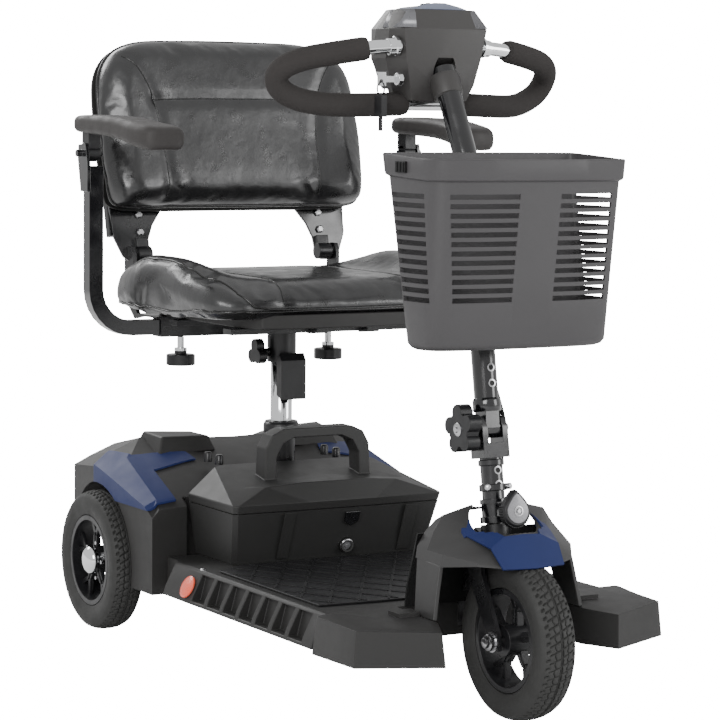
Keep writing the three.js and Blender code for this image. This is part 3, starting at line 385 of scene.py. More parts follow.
def dress(node, material, bevel=1.0, segments=2, angle=30, merge_flats=True):
    """Gives a CAD node its material, joins its split corners and rounds its edges."""
    obj = frame["nodes"][node]
    obj.data.materials.clear()
    obj.data.materials.append(MATERIALS[material])
    if "custom_normal" in obj.data.attributes:
        obj.data.attributes.remove(obj.data.attributes["custom_normal"])
    obj.data.shade_smooth()
    weld = obj.modifiers.new("weld", "WELD")
    weld.merge_threshold = 1e-5
    if merge_flats:
        flat = obj.modifiers.new("flat", "DECIMATE")
        flat.decimate_type = "DISSOLVE"
        flat.angle_limit = math.radians(0.6)
    if bevel:
        bevelled(obj, bevel, segments, angle)
    return obj


# ---------- wheels ----------
TREAD_BLOCKS = 58
SHOULDER = 0.8
# The sidewall from the shoulder to the bead: (depth below the tread, share of the tyre's width).
SIDEWALL = [(7.5, 0.445), (9.5, 0.475), (12, 0.488), (17, 0.498), (24, 0.492), (25.5, 0.474), (30, 0.462),
            (33.5, 0.43), (35, 0.41)]


def tread_depth(across, around):
    """Depth of the tread grooves, in millimetres. across is 0 at the centre and 1 at the shoulder."""
    pitch = (around * TREAD_BLOCKS + 0.9 * across) % 1.0
    lateral = np.exp(-(((pitch - 0.5) / 0.10) ** 2))
    half_pitch = (around * TREAD_BLOCKS + 0.5 + 0.9 * across) % 1.0
    outer = np.exp(-(((half_pitch - 0.5) / 0.16) ** 2))
    away = np.abs(across)
    zigzag = 0.42 + 0.05 * np.sin(around * TREAD_BLOCKS * 2 * np.pi)
    centre = np.exp(-(((away - 0.06) / 0.035) ** 2))
    ring = np.exp(-(((away - zigzag) / 0.035) ** 2))
    depth = np.maximum(2.8 * centre, 2.6 * ring)
    depth = np.maximum(depth, 2.6 * lateral * (away > 0.08) * (away < 0.78))
    depth = np.maximum(depth, 3.2 * outer * (away > 0.74))
    return depth * (away < 0.98)


def tyre(name, node, width, body, centre):
    around_count, half = 12 * TREAD_BLOCKS, 26
    tread = np.linspace(-1, 1, 2 * half + 1)
    crown = WHEEL_RADIUS - 4.5 * np.abs(tread) ** 2.6
    tread_x = tread * width / 2 * SHOULDER
    wall = [(WHEEL_RADIUS - depth, share * width) for depth, share in SIDEWALL]
    radii = [r for r, _ in reversed(wall)] + list(crown) + [r for r, _ in wall]
    xs = [-x for _, x in reversed(wall)] + list(tread_x) + [x for _, x in wall]
    lanes = len(radii)
    turns = np.arange(around_count)[:, None] / around_count
    grid_r = np.tile(radii, (around_count, 1))
    grid_x = np.tile(xs, (around_count, 1))
    first = len(wall)
    across = np.tile(tread, (around_count, 1))
    around = np.tile(turns, (1, len(tread)))
    grid_r[:, first : first + len(tread)] -= tread_depth(across, around)
    angle = 2 * np.pi * turns
    points = np.stack([grid_x, grid_r * np.cos(angle), grid_r * np.sin(angle)], 2).reshape(-1, 3)
    faces = []
    for i in range(around_count):
        j = (i + 1) % around_count
        for k in range(lanes):
            m = (k + 1) % lanes
            faces.append((i * lanes + k, j * lanes + k, j * lanes + m, i * lanes + m))
    obj = make(name, [(points.tolist(), faces)], "tyre", SCOOTER @ Matrix.Translation(centre), angle=50)
    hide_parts(node)
    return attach(obj, body)


def spoked_rim(name, node, body, centre, outward, face, hub):
    """A dished rim with five forked spokes. face is the X range of the disc, hub that of the hub."""
    inner, outer = WHEEL_RADIUS - 43, WHEEL_RADIUS - 35.8
    low, high = sorted(outward * v for v in face)
    section = ((-21, inner), (-21, outer), (21, outer), (21, inner + 3), (17, inner), (-21, inner))
    barrel = loft([ring_at((x, 0, 0), (1, 0, 0), r, 72) for x, r in section], caps=False)
    pieces = [barrel, rod((hub[0], 0, 0), (hub[1], 0, 0), 20)]
    for i in range(5):
        swing = Matrix.Rotation(2 * math.pi * i / 5, 4, "X")
        stem = prism("x", [(-7, 12), (7, 12), (5.5, 36), (-5.5, 36)], low, high)
        fork_a = prism("x", [(-5.5, 32), (0.5, 30), (16, 57), (9, 60)], low + 0.7, high - 0.7)
        fork_b = prism("x", [(5.5, 32), (-9.5, 60), (-16, 57), (-0.5, 30)], low + 0.7, high - 0.7)
        rib = prism("x", [(-1.6, 18), (1.6, 18), (1.2, 40), (-1.2, 40)], low - 1.5, high + 1.5)
        for points, faces in (stem, fork_a, fork_b, rib):
            pieces.append(([swing @ Vector(p) for p in points], faces))
    obj = make(name, pieces, "rim", SCOOTER @ Matrix.Translation(centre), 30)
    bevelled(obj, 0.8)
    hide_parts(node)
    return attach(obj, body)


for side, sign in SIDES:
    centre = Vector((sign * REAR_WHEEL_X, REAR_AXLE_Y, WHEEL_RADIUS))
    body = "rear_wheel_" + side
    tyre("tread_" + side, "rear_tyre_" + side, 50, body, centre)
    spoked_rim("spokes_" + side, "rear_rim_" + side, body, centre, sign, (4, 11), (-16, 18))
    cap = turned(centre + Vector((sign * 14, 0, 0)), (sign, 0, 0),
                 [(0, 21), (5, 21), (9, 19), (12, 14), (13.5, 8), (14, 2)])
    add("hub_cap_" + side, [cap], "chrome", body, angle=60)
    bolts = []
    for i in range(5):
        a = math.radians(36 + 72 * i)
        foot = centre + Vector((sign * 10, 27 * math.cos(a), 27 * math.sin(a)))
        bolts.append(rod(foot, foot + Vector((sign * 4, 0, 0)), 3, sides=6))
    add("rim_bolts_" + side, bolts, "steel", body, bevel=0.4)
    dress("anti_tip_wheel_" + side, "tyre", 1.2)
front_centre = Vector((0, 0, WHEEL_RADIUS))
tyre("tread_front", "front_tyre", 52, "front_wheel", front_centre)
spoked_rim("spokes_front", "front_rim", "front_wheel", front_centre, -1, (-5, 5), (-24, 24))

# ---------- frame, drive and deck ----------
dress("chassis_frame", "frame", 1.5)
dress("transaxle", "steel", 1.0)
dress("drive_motor", "frame", 1.5)
dress("freewheel_lever", "reflector", 1.0)
dress("deck_pan", "body", 1.5, 3)
dress("deck_mat", "mat", 0.8)
for side, sign in SIDES:
    dress("reflector_" + side, "reflector", 0.8)
    dress("bumper_" + side, "body", 1.2, 2, merge_flats=False)


def clipped(start, end, outline):
    """The part of a line inside a convex outline that runs anticlockwise, or None."""
    low, high = 0.0, 1.0
    run = Vector(end) - Vector(start)
    for i, corner in enumerate(outline):
        edge = Vector(outline[(i + 1) % len(outline)]) - Vector(corner)
        inward = Vector((-edge.y, edge.x))
        slope = inward.dot(run)
        reach = inward.dot(Vector(corner) - Vector(start))
        if abs(slope) < 1e-9:
            if reach > 0:
                return None
            continue
        if slope > 0:
            low = max(low, reach / slope)
        else:
            high = min(high, reach / slope)
    if high - low < 0.02:
        return None
    return Vector(start) + run * low, Vector(start) + run * high


MAT_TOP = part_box("deck_mat")[1].z / MM
MAT_OUTLINE = [(-104, 158), (104, 158), (190, 166), (190, 436), (146, 462), (-146, 462), (-190, 436),
               (-190, 166)]
MAT_PITCH, MAT_MIDDLE, MAT_REACH = 44, 310, 400


def mat_ribs():
    """Two sets of raised lines that cross at a slant, cut off at the mat's edge."""
    ribs = []
    rise = MAT_REACH * math.tan(math.radians(58))
    for direction in (1, -1):
        for k in range(-14, 15):
            start = Vector((k * MAT_PITCH - MAT_REACH, MAT_MIDDLE - direction * rise))
            end = Vector((k * MAT_PITCH + MAT_REACH, MAT_MIDDLE + direction * rise))
            inside = clipped(start, end, MAT_OUTLINE)
            if inside:
                a, b = inside
                across = (b - a).normalized().orthogonal() * 1.7
                outline = [a - across, b - across, b + across, a + across]
                ribs.append(prism("z", [tuple(p) for p in outline], MAT_TOP - 0.5, MAT_TOP + 1.3))
    return ribs


add("mat_ribs", mat_ribs(), "mat", "chassis", bevel=0.4, segments=1)
DECK_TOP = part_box("deck_pan")[1].z / MM
for side, sign in SIDES:
    screw = turned((sign * 205, 470, DECK_TOP - 0.5), (0, 0, 1), [(0, 4.4), (1.4, 4.4), (2.3, 3)])
    add("deck_screw_" + side, [screw], "steel", "chassis")

# ---------- front shroud ----------
KNOB = Vector((0, -35, 155))
KNOB_REACH, KNOB_ROOM = 57.5, 28.5
COLUMN_ROOM = 27


def knob_sweep():
    """The room that the clamp knob needs as the column steers."""
    rods = []
    for degrees in range(-40, 41, 10):
        a = math.radians(degrees)
        tip = (KNOB_REACH * math.sin(a), -KNOB_REACH * math.cos(a), KNOB.z)
        rods.append(rod((0, 0, KNOB.z), tip, KNOB_ROOM, sides=36))
    return rods


SHROUD_STATIONS = [
    [(44, -29, 199), (44, -28, 201), (38, -28, 202), (28, -28, 203), (14, -28, 203.5), (0, -28, 204)],
    [(70, -15, 201), (69, -14, 205), (47, -9, 216), (36, -7, 221), (24, -6, 225), (0, -6, 227)],
    [(98, 27, 196), (96, 26, 212), (60, 24, 230), (48, 24, 236), (36, 24, 239), (0, 24, 240)],
    [(99, 58, 198), (98, 60, 213), (89, 59, 236), (75, 60, 256), (30, 60, 267), (0, 60, 268)],
    [(100, 84, 200), (98, 84, 214), (87, 84, 232), (72, 84, 246), (30, 86, 257), (0, 87, 258)],
]
shroud_sheet = loft([both(station) for station in SHROUD_STATIONS], closed_ring=False, caps=False)
shroud = make("shroud_dome", [shroud_sheet], "shroud")
baked(thickened(shroud, 3, -1))
carve(shroud, [rod((0, 0, 100), (0, 0, 240), COLUMN_ROOM, sides=40)], COLUMN)
carve(shroud, knob_sweep(), COLUMN)
bevelled(shroud, 1.2, 2)
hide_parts("front_shroud")
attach(shroud, "chassis")
leg = loft(
    [
        [(112, 20, 131), (112, 66, 131), (106, 66, 131), (106, 20, 131)],
        [(105.5, 24, 166), (106, 74, 166), (100, 74, 166), (99.5, 24, 166)],
        [(99, 27, 198), (99, 83, 201), (93, 83, 201), (93, 27, 198)],
    ]
)
add("shroud_legs", [leg, mirrored(leg)], "shroud", "chassis", bevel=1.5, segments=3)

bulkhead = [[(-97, y, z), (97, y, z), (97, y + 3, z), (-97, y + 3, z)]
            for y, z in ((112, 132.6), (108, 160), (92, 205), (84, 230))]
add("shroud_bulkhead", [loft(bulkhead)], "dark", "chassis")
COLLAR_OUTER = [(0, -38.5, 197.5), (45, -34.5, 198.5), (50, -13, 222), (62, 25, 233), (68, 38, 220),
                (67, 64, 233)]
COLLAR_INNER = [(0, -9, 236), (26, -7, 234.5), (37, 20, 243.5), (42, 44, 253), (59, 54, 250)]


def collar():
    """The sheet of the blue collar: half of it, and its mirror image."""
    faces = [(0, 1, 7, 6), (1, 2, 7), (7, 2, 3, 8), (8, 3, 10, 9), (3, 4, 5, 10)]
    half = (COLLAR_OUTER + COLLAR_INNER, faces)
    return [half, mirrored(half)]


blue_collar = make("blue_collar", collar(), "blue")
baked(thickened(blue_collar, 2.6, -0.6))
carve(blue_collar, knob_sweep(), COLUMN)
bevelled(blue_collar, 0.7, 2, 20)
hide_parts("fender_panel")
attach(blue_collar, "chassis")

# ---------- rear cover ----------
BUMP = [
    [(56, 728, 258), (150, 726, 255), (156, 800, 262), (58, 804, 262)],
    [(64, 738, 280), (140, 738, 281), (146, 790, 285), (66, 794, 280)],
]
dress("rear_cover", "body", 3.0, 3, 14)
for side, sign in SIDES:
    dress("rear_panel_" + side, "blue", 1.6, 3, 12)
    raised = [[(sign * x, y, z) for x, y, z in ring] for ring in BUMP]
    add("cover_bump_" + side, [loft(raised)], "body", "chassis", bevel=3, segments=3)
    bolt = [turned((sign * 96, y, 250), (0, 0, 1), [(0, 6), (12, 6), (14.5, 4)]) for y in (640, 676)]
    add("cover_bolts_" + side, bolt, "frame", "chassis", angle=50)

# ---------- steering ----------
dress("front_fork", "frame", 1.2)
dress("lower_tiller", "gloss", 0.8)
FOLD = 262
TILLER_PATH = [(0, 0, 283), (0, 0, 340), (0, 0, 400), (0, 0, 460), (0, 0, 520), (0, 1.5, 572), (0, 8, 610),
               (0, 20, 648), (0, 46, 728)]
TILLER_RADIUS, STEM_RADIUS = 15.5, 14.3
tongue = [box(-10.6, 10.6, -13, 13, FOLD, 296), rod((-10.6, 0, FOLD), (10.6, 0, FOLD), 13)]
collar_ring = turned((0, 0, 283), (0, 0, 1), [(0, 17), (1.5, 18.2), (14, 18), (17, 16.4)], 48)
add("tiller_tube", [tube(smooth_path(TILLER_PATH, 6), TILLER_RADIUS, 48), collar_ring], "gloss", "tiller",
    COLUMN, angle=40, stands_for=["upper_tiller"])
add("tiller_tongue", tongue, "gloss", "tiller", COLUMN, bevel=1)
add("basket_hook", [box(-34, 34, -20, -16.5, 534, 574), box(-12, 12, -18, -10, 540, 568)], "knob",
    "tiller", COLUMN, bevel=0.8)
sleeve = turned((0, 0, 172.3), (0, 0, 1), [(0, STEM_RADIUS), (51, STEM_RADIUS)], 48)
add("lower_sleeve", [sleeve], "gloss", "steering", COLUMN)


def hole_rings(name, heights, radius, body):
    """Steel-edged height holes on the front of a tube; each hole is a dark disc inside its steel ring,
    painted shade that stands in for the shadowed inside of the hole.
    """
    for index, height in enumerate(heights):
        at = (0, -radius + 0.6, height)
        ring = turned(at, (0, -1, 0), [(0, 5.2), (1.4, 5.2), (1.6, 3.6), (1.2, 3.4)], 28)
        add(f"{name}_ring_{index}", [ring], "steel", body, COLUMN, angle=40)
        # The dark disc is painted shade: it is not a hole, and its colour stands in for the shadowed inside
        # of one.
        hole_shade_disc = turned(at, (0, -1, 0), [(0, 3.5), (1.35, 3.5)], 24)
        add(f"{name}_dark_{index}", [hole_shade_disc], "dark", body, COLUMN)


hole_rings("lower_hole", (190, 208), STEM_RADIUS, "steering")
hole_rings("upper_hole", (318, 338), TILLER_RADIUS, "tiller")
AXLE_ON_COLUMN = COLUMN.inverted() @ Vector((0, AXLE.y, AXLE.z))
AXLE_NUT = [(0, 13), (2, 13), (2.2, 10.5), (8, 10.5), (9, 9), (9.2, 6.5), (13, 6.5), (14, 5)]
for side, sign in SIDES:
    tip = AXLE_ON_COLUMN + Vector((sign * 37, 0, 0))
    add("axle_nut_" + side, [turned(tip, (sign, 0, 0), AXLE_NUT, 40)], "steel", "steering", COLUMN)
collars = [
    turned((0, 0, 182), (0, 0, 1), [(0, 16), (1, 17.5), (8, 17.5), (9, 16)]),
    turned((0, 0, 214), (0, 0, 1), [(0, 15), (1, 16.5), (7, 16.5), (8, 15)]),
]
add("column_collars", collars, "gloss", "steering", COLUMN)
pins = [turned((sx * 12, -8, 187), (sx * 0.7, -1, 0), [(0, 4), (9, 4), (10, 2.5)]) for sx in (1, -1)]
add("column_bolts", pins, "steel", "steering", COLUMN)
bolt = turned((19, 0, FOLD), (1, 0, 0), [(0, 9), (4, 9), (5, 7), (5, 5), (8, 5), (9, 3)], 40)
add("fold_bolt", [bolt], "steel", "steering", COLUMN)
dress("tiller_hinge_knob", "knob", 2.5, 3)
knob_cap = turned((-45, 0, FOLD), (-1, 0, 0), [(0, 9), (2, 9), (3.2, 7), (3.2, 4), (5, 3.5)], 40)
add("fold_knob_cap", [knob_cap], "steel", "tiller_hinge_knob", COLUMN)


# ---------- clamp knob: a ribbed black rim round a silver face ----------
def drop(radius, tip, y, steps=30):
    """A ring in the shape of a drop, its point up."""
    ring = []
    for i in range(steps):
        a = math.radians(-90 + 360 * i / steps)
        x, z = radius * math.cos(a), radius * math.sin(a)
        pull = max(0.0, math.sin(a)) ** 3
        ring.append((KNOB.x + x * (1 - 0.45 * pull), KNOB.y + y, KNOB.z + z + tip * pull))
    return ring


body_drop = loft([drop(16, 6, -5), drop(20, 7, -7), drop(20.5, 7, -15), drop(18, 6.5, -19)])
knob_shank = rod(KNOB + Vector((0, -6, 0)), KNOB + Vector((0, -0.4, 0)), 7)
add("stem_knob_rim", [body_drop, knob_shank], "knob", "stem_knob", COLUMN, bevel=0.8,
    stands_for=["stem_knob"])
teeth = []
for i in range(26):
    a = math.radians(-200 + 220 * i / 25)
    p = KNOB + Vector((19.6 * math.cos(a), -11.5, 19.6 * math.sin(a)))
    teeth.append(tube([p + Vector((0, -4.2, 0)), p + Vector((0, 4.2, 0))], 1.5, 8))
add("stem_knob_ribs", teeth, "knob", "stem_knob", COLUMN)
face_drop = loft([drop(15.5, 7, -18.8), drop(15, 6.8, -20.4), drop(9, 4, -21)])
add("stem_knob_face", [face_drop], "silver", "stem_knob", COLUMN, bevel=0.3)
hub_profile = [(0, 6.5), (1.6, 6.5), (1.7, 5), (0.8, 4.6), (0.8, 2.8), (2.6, 2.4)]
knob_hub = turned(KNOB + Vector((0, -20.2, 0)), (0, -1, 0), hub_profile)
add("stem_knob_hub", [knob_hub], "steel", "stem_knob", COLUMN)

# One cable runs past the folding hinge, in one fixed piece.
CABLE = [(22, 30, 150), (23, 27, 180), (24, 12, 225), (24, 0, FOLD), (24, 10, 300), (20, 20, 340),
         (16, 22, 420), (14, 22, 520), (14, 26, 585), (14, 44, 640), (14, 54, 668)]
cable = make("tiller_cable", [tube(smooth_path(CABLE, 8), 3, 12)], "dark", COLUMN, 60)
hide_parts("tiller_cable_lower", "tiller_cable_upper")
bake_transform(cable)

# ---------- head and handlebar ----------
dress("tiller_head", "head", 4.0, 4, 12)
dress("control_panel", "panel", 1.0, 2, 12)
crown_low = [(62.6, 189.4, 865.5), (68.6, 232, 865.5), (58, 276.6, 865.5)]
crown_high = [(48.4, 199.6, 889), (56.4, 232, 889), (46, 262.4, 889)]
crown = loft([both(crown_low), both(crown_high)], caps=False)
crown_skin = make("head_crown", [crown], "crown")
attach(thickened(crown_skin, 0.5, 0), "tiller")
point = [(-30, 199.8, 889.5), (30, 199.8, 889.5), (0, 190.224, 870.58)]
add("head_point", [loft([point, [(x, y + 1, z) for x, y, z in point]])], "blue", "tiller")
dress("speed_dial", "knob", 0.6)
dress("horn_button", "reflector", 0.6)
dress("throttle_paddle", "silver", 1.2)
BAR_HALF = [(0, 226, 768), (50, 226, 768), (92, 230, 766), (138, 250, 766), (172, 268, 772), (195, 274, 784),
            (204, 270, 800), (198, 257, 814), (178, 240, 824), (146, 224, 831), (105, 210, 838),
            (60, 206, 842)]
bar_path = [(-x, y, z) for x, y, z in reversed(BAR_HALF[1:])] + BAR_HALF
add("bar", [tube(smooth_path(bar_path, 6), 9, 24)], "chrome", "tiller", angle=60, stands_for=["handlebar"])
for side, sign in SIDES:
    foam = smooth_path([(sign * x, y, z) for x, y, z in [(40, 226, 768)] + BAR_HALF[2:-1]], 8)
    foam = [foam[0] * 1.06 - foam[1] * 0.06] + foam + [foam[-1] * 1.06 - foam[-2] * 0.06]
    radii = [13.5, 13.5] + [15.2] * (len(foam) - 4) + [13.5, 13.5]
    add("foam_grip_" + side, [tube(foam, radii, 32)], "foam", "tiller", angle=60,
        stands_for=["grip_" + side])
    stub = [(0, 13), (4, 13), (5.5, 11.5), (13, 11), (13.5, 9.5)]
    stub = turned((sign * 63, 207, 841.5), (sign, 0.09, -0.09), stub, 36)
    add("bar_collar_" + side, [stub], "chrome", "tiller", angle=40)
dress("key", "chrome", 0.4)
dress("key_ring", "knob", 0.6)
sleeve = turned((0, 37, 690), (0, 0.31, 1), [(0, 17), (2, 19.5), (26, 20.5), (30, 19)], 40)
add("head_sleeve", [sleeve], "head", "tiller", COLUMN)

# ---------- basket ----------
basket_low, basket_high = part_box("basket")
BASKET_BOTTOM = basket_low.z / MM
BASKET_TOP = basket_high.z / MM
RIM_LOW = BASKET_TOP - 28
SLOT_ROWS, SLOT_LOW, SLOT_PITCH, SLOT_HEIGHT = 12, 526.5, 11.5, 6.4


def basket_ring(z, grow):
    """The basket's outline at a height; its back leans with the column and its front swells forwards."""
    share = (z - BASKET_BOTTOM) / (BASKET_TOP - BASKET_BOTTOM)
    back = 62 + 46 * share + grow
    front = -8 - 30 * share - grow
    half = 135 + 7 * share + grow
    corner = 34 + 18 * share
    sag = -6 * max(0, share - 0.05)
    side = [(half, back - 10), (half, front + corner * 1.15), (half * 0.965, front + corner * 0.42),
            (half * 0.8, front + corner * 0.17), (half * 0.45, front + 1)]
    outline = [(half - 10, back)] + side + [(-x, y) for x, y in reversed(side)] + [(-half + 10, back)]
    ring = []
    for x, y in rounded_off(outline, 3):
        ahead = min(1, max(0, (back - y) / (back - front)) * 1.4)
        ring.append((x, y, z + sag * ahead))
    return ring


def basket():
    wall = 3.2
    low, rim, top = BASKET_BOTTOM, RIM_LOW, BASKET_TOP
    outside = [(low, -8), (low + 2.5, -3), (low + 8, 0), (low + 90, 0), (rim - 1, 0), (rim + 1.5, 3.4),
               (rim + 5, 4), (top - 2, 4), (top - 0.4, 3)]
    inside = [(low + wall, -8 - wall), (low + 12, -wall), (rim, -wall), (top + 6, -wall + 1)]
    obj = make("basket_shell", [loft([basket_ring(z, grow) for z, grow in outside])], "basket")
    carve(obj, [loft([basket_ring(z, grow) for z, grow in inside])])
    slots = []
    for row in range(SLOT_ROWS):
        low = SLOT_LOW + row * SLOT_PITCH
        high = low + SLOT_HEIGHT
        share = row / (SLOT_ROWS - 1)
        slots.append(box(-220, 220, 6 + 4 * share, 62 + 26 * share, low, high))
        slots.append(box(34, 116, -140, 2, low, high))
        slots.append(box(-108 - 12 * share, -26, -140, 2, low, high))
    carve(obj, slots)
    bevelled(obj, 0.6, 2, 40)
    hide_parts("basket")
    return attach(obj, "basket")


basket()
latch = [box(-148.5, -143, 40, 64, RIM_LOW + 4, RIM_LOW + 18)]
latch += [box(-149.6, -148, y, y + 2.5, RIM_LOW + 5, RIM_LOW + 17) for y in (43, 50.5, 58)]
add("basket_latch", latch, "dark", "basket", bevel=0.5)

# ---------- battery box ----------
dress("battery_case", "battery", 2.2, 3, 14)
dress("battery_lid", "battery", 2.2, 3, 14)
band = [(478.5, 137), (452.6, 204.5), (451.4, 204.5), (477.3, 137)]
for index, (low, high) in enumerate(((-88.5, -71), (104.5, 124.5))):
    add(f"battery_band_{index}", [prism("x", band, low, high)], "battery", "battery_box", bevel=0.4)
dress("battery_cells", "frame", 1)
dress("charge_flap", "gloss", 0.8)
CHARGE_SOCKET, OUT_OF_FRONT = (20, 474.2, 150), (0, -0.934, -0.358)
shell = turned(CHARGE_SOCKET, OUT_OF_FRONT, [(0, 10.5), (3, 10.5), (4, 9.5), (4, 7), (1.5, 6.8)], 40)
add("charge_socket", [shell], "steel", "battery_box", bevel=0.3)
pins = turned(CHARGE_SOCKET, OUT_OF_FRONT, [(0, 6.6), (3.2, 6.4), (3.4, 3), (4.6, 2.6)], 24)
add("charge_pins", [pins], "silver", "battery_box")

# ---------- seat post and frame ----------
# Each station of an arm pad: (place along it, its middle, half its width, its underside, its top).
PAD_STATIONS = [(736, 260, 12, 730, 738), (735, 260, 18, 728, 742), (731, 260, 23, 725, 745.5),
                (722, 260, 26, 723, 748), (690, 260, 27, 722, 748.5), (620, 260, 27, 719, 747),
                (590, 259, 27.5, 716, 745.5), (562, 258, 28.5, 711, 742), (546, 256, 29.5, 707, 739.5),
                (524, 252, 31, 703, 737), (511, 249, 30.5, 701.5, 735), (503, 248, 28, 702.5, 732.5),
                (499.5, 248, 22, 706, 729), (498, 248, 14, 710, 725)]


def arm_pad(side, sign):
    rings = []
    for y, middle, half, low, high in PAD_STATIONS:
        tall = (high - low) / 2
        ring = rounded(half, tall, min(half, tall) * 0.72)
        rings.append([(sign * (middle + x), y, z + (high + low) / 2) for x, z in ring])
    pad = make("pad_" + side, [loft(rings)], "pad", angle=60)
    smooth = pad.modifiers.new("smooth", "SUBSURF")
    smooth.levels = smooth.render_levels = 1
    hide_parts("arm_pad_" + side)
    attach(pad, "arm_pad_" + side)
    lug = box(*sorted((sign * 250, sign * 269)), 710, 734, 700, 724)
    eye = rod((sign * 250, 722, 694), (sign * 269, 722, 694), 12)
    add("pad_lug_" + side, [lug, eye], "frame", "arm_pad_" + side, bevel=1)


dress("seat_post", "chrome", 0)
dress("seat_frame", "frame", 1.0)
dress("seat_pan", "body", 2.0)
dress("post_lock_lever", "knob", 1.6, 3)
dress("seat_hub_knob", "knob", 2.0, 3)
dress("swivel_lever", "knob", 1.2)
for side, sign in SIDES:
    dress("arm_knob_" + side, "knob", 2.5, 3)
    stud = turned((sign * 122, 714, 409), (0, 0, 1), [(0, 9), (4, 9), (4.4, 5), (20, 5)], 32)
    add("arm_stud_" + side, [stud], "chrome", "arm_knob_" + side)
    dress("armrest_tube_" + side, "gloss", 1.6, 3)
    arm_pad(side, sign)
POST_LOW, POST_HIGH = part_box("seat_post")
POST = Vector((0, ((POST_LOW + POST_HIGH) / 2).y / MM - AXLE.y / MM, 0))
collar_profile = [(0, 25), (2, 26), (18, 26), (22, 24.5), (24.6, 20), (25, 17)]
socket_collar = turned(POST + Vector((0, 0, 286)), (0, 0, 1), collar_profile)
add("socket_collar", [socket_collar], "frame", "chassis", angle=40)


# ---------- padded pieces ----------
def step(value, low, high):
    """A smooth rise from 0 to 1 between two values."""
    t = np.clip((np.asarray(value, float) - low) / (high - low), 0, 1)
    return t * t * (3 - 2 * t)


def inset_loop(outline, middle, inset):
    """A smooth loop round an outline, drawn in towards its middle by a distance."""
    loop = np.array(rounded_off(outline, 3)) - middle
    return middle + loop * (1 - inset / np.linalg.norm(loop, axis=1, keepdims=True))


def cushion_mesh(name, outline, levels, middle, shape, place):
    """A pad of nested rings: levels gives (inset, height) from its base to the edge of its top, and the
    rings then close in on the middle. shape moves the points, an array of (u, v, height)."""
    rings = []
    for inset, height in levels:
        loop = inset_loop(outline, middle, inset)
        rings.append(np.column_stack([loop, np.full(len(loop), height)]))
    for share in np.linspace(0.94, 0.06, 24):
        height = levels[-1][1] + 4 * (1 - share**2)
        rings.append(np.column_stack([middle + (loop - middle) * share, np.full(len(loop), height)]))
    _, faces = loft([ring.tolist() for ring in rings])
    points = shape(np.concatenate(rings))
    return make(name, [(points.tolist(), faces)], "vinyl", place, 60)


def skin_of(obj):
    return BVHTree.FromPolygons([v.co for v in obj.data.vertices], [p.vertices for p in obj.data.polygons])


def puffed(obj, pressure, voxel=0.0055, limit=0.006):
    """Swells a cushion with a short cloth simulation, which rounds it and wrinkles its skin a little."""
    remesh = obj.modifiers.new("remesh", "REMESH")
    remesh.mode = "VOXEL"
    remesh.voxel_size = voxel
    even = obj.modifiers.new("even", "SMOOTH")
    even.factor = 0.5
    even.iterations = 14
    skin = skin_of(obj)
    baked(obj)
    for v in obj.data.vertices:
        v.co = skin.find_nearest(v.co)[0]
    soft = obj.modifiers.new("soft", "SMOOTH")
    soft.factor = 0.5
    soft.iterations = 3
    baked(obj)
    start = np.array([v.co for v in obj.data.vertices])
    cloth = obj.modifiers.new("cloth", "CLOTH")
    stuff = cloth.settings
    stuff.quality = 5
    stuff.mass = 0.3
    stuff.tension_stiffness = 25
    stuff.compression_stiffness = 10
    stuff.bending_stiffness = 0.8
    stuff.use_pressure = True
    stuff.uniform_pressure_force = pressure
    stuff.effector_weights.gravity = 0
    cloth.collision_settings.use_collision = False
    for frame_number in range(1, 21):
        bpy.context.scene.frame_set(frame_number)
    baked(obj)
    bpy.context.scene.frame_set(1)
    moved = np.array([v.co for v in obj.data.vertices]) - start
    far = np.linalg.norm(moved, axis=1, keepdims=True)
    moved *= np.minimum(1, limit / np.maximum(far, 1e-9))
    obj.data.vertices.foreach_set("co", (start + moved).astype(np.float32).ravel())
    obj.data.update()


def pressed(obj, path, width, depth):
    """Sinks the surface along a line, as stitching pulls a cover in."""
    mesh = obj.data
    co = np.array([v.co for v in mesh.vertices])
    normal = np.array([v.normal for v in mesh.vertices])
    line = np.array([tuple(p) for p in path])
    near = np.full(len(co), 1e9)
    for a, b in zip(line[:-1], line[1:]):
        run = b - a
        t = np.clip(((co - a) @ run) / max(run @ run, 1e-12), 0, 1)
        near = np.minimum(near, np.linalg.norm(co - (a + t[:, None] * run), axis=1))
    sink = depth * np.exp(-((near / width) ** 2))
    co -= normal * sink[:, None]
    mesh.vertices.foreach_set("co", co.astype(np.float32).ravel())
    mesh.update()


def laid_on(obj, points, lift=0.0):
    """Points moved to the nearest place on the object's surface."""
    skin = skin_of(obj)
    found = []
    for p in points:
        hit, normal = skin.find_nearest(Vector(p))[:2]
        found.append(hit + normal * lift)
    return found


def seam(name, obj, points, place, body, radius=0.9, depth=0.0025):
    """A line of stitching or piping laid on a cushion, which it pulls in."""
    path = laid_on(obj, [place @ Vector(p) for p in points])
    pressed(obj, path, 0.009, depth)
    path = [p / MM for p in laid_on(obj, path, 0.0002)]
    return add(name, [tube(path, radius, 8)], "piping", body, SCALE, angle=80)


def pressed_by_the_fold(obj):
    """Gives the piece its own copy of its mesh; the padding is not pressed where the folded backrest lies on
    the seat.
    """
    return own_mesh(obj)


def finished(obj, node, body):
    """The cushion smoothed and put on its body, with the CAD node it stands for hidden."""
    smooth = obj.modifiers.new("smooth", "SUBSURF")
    smooth.levels = smooth.render_levels = 1
    obj.data.shade_smooth()
    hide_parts(node)
    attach(obj, body)


SEAT_EDGE = [(166, 404), (208, 416), (226, 452), (226, 708), (212, 754), (166, 768)]
SEAT_MIDDLE = np.array((0, 590))
SEAT_LEVELS = [(16, 481), (6, 481.5), (1.5, 485), (0, 491), (0, 499), (3, 508), (9, 515), (19, 519.5),
               (32, 521)]


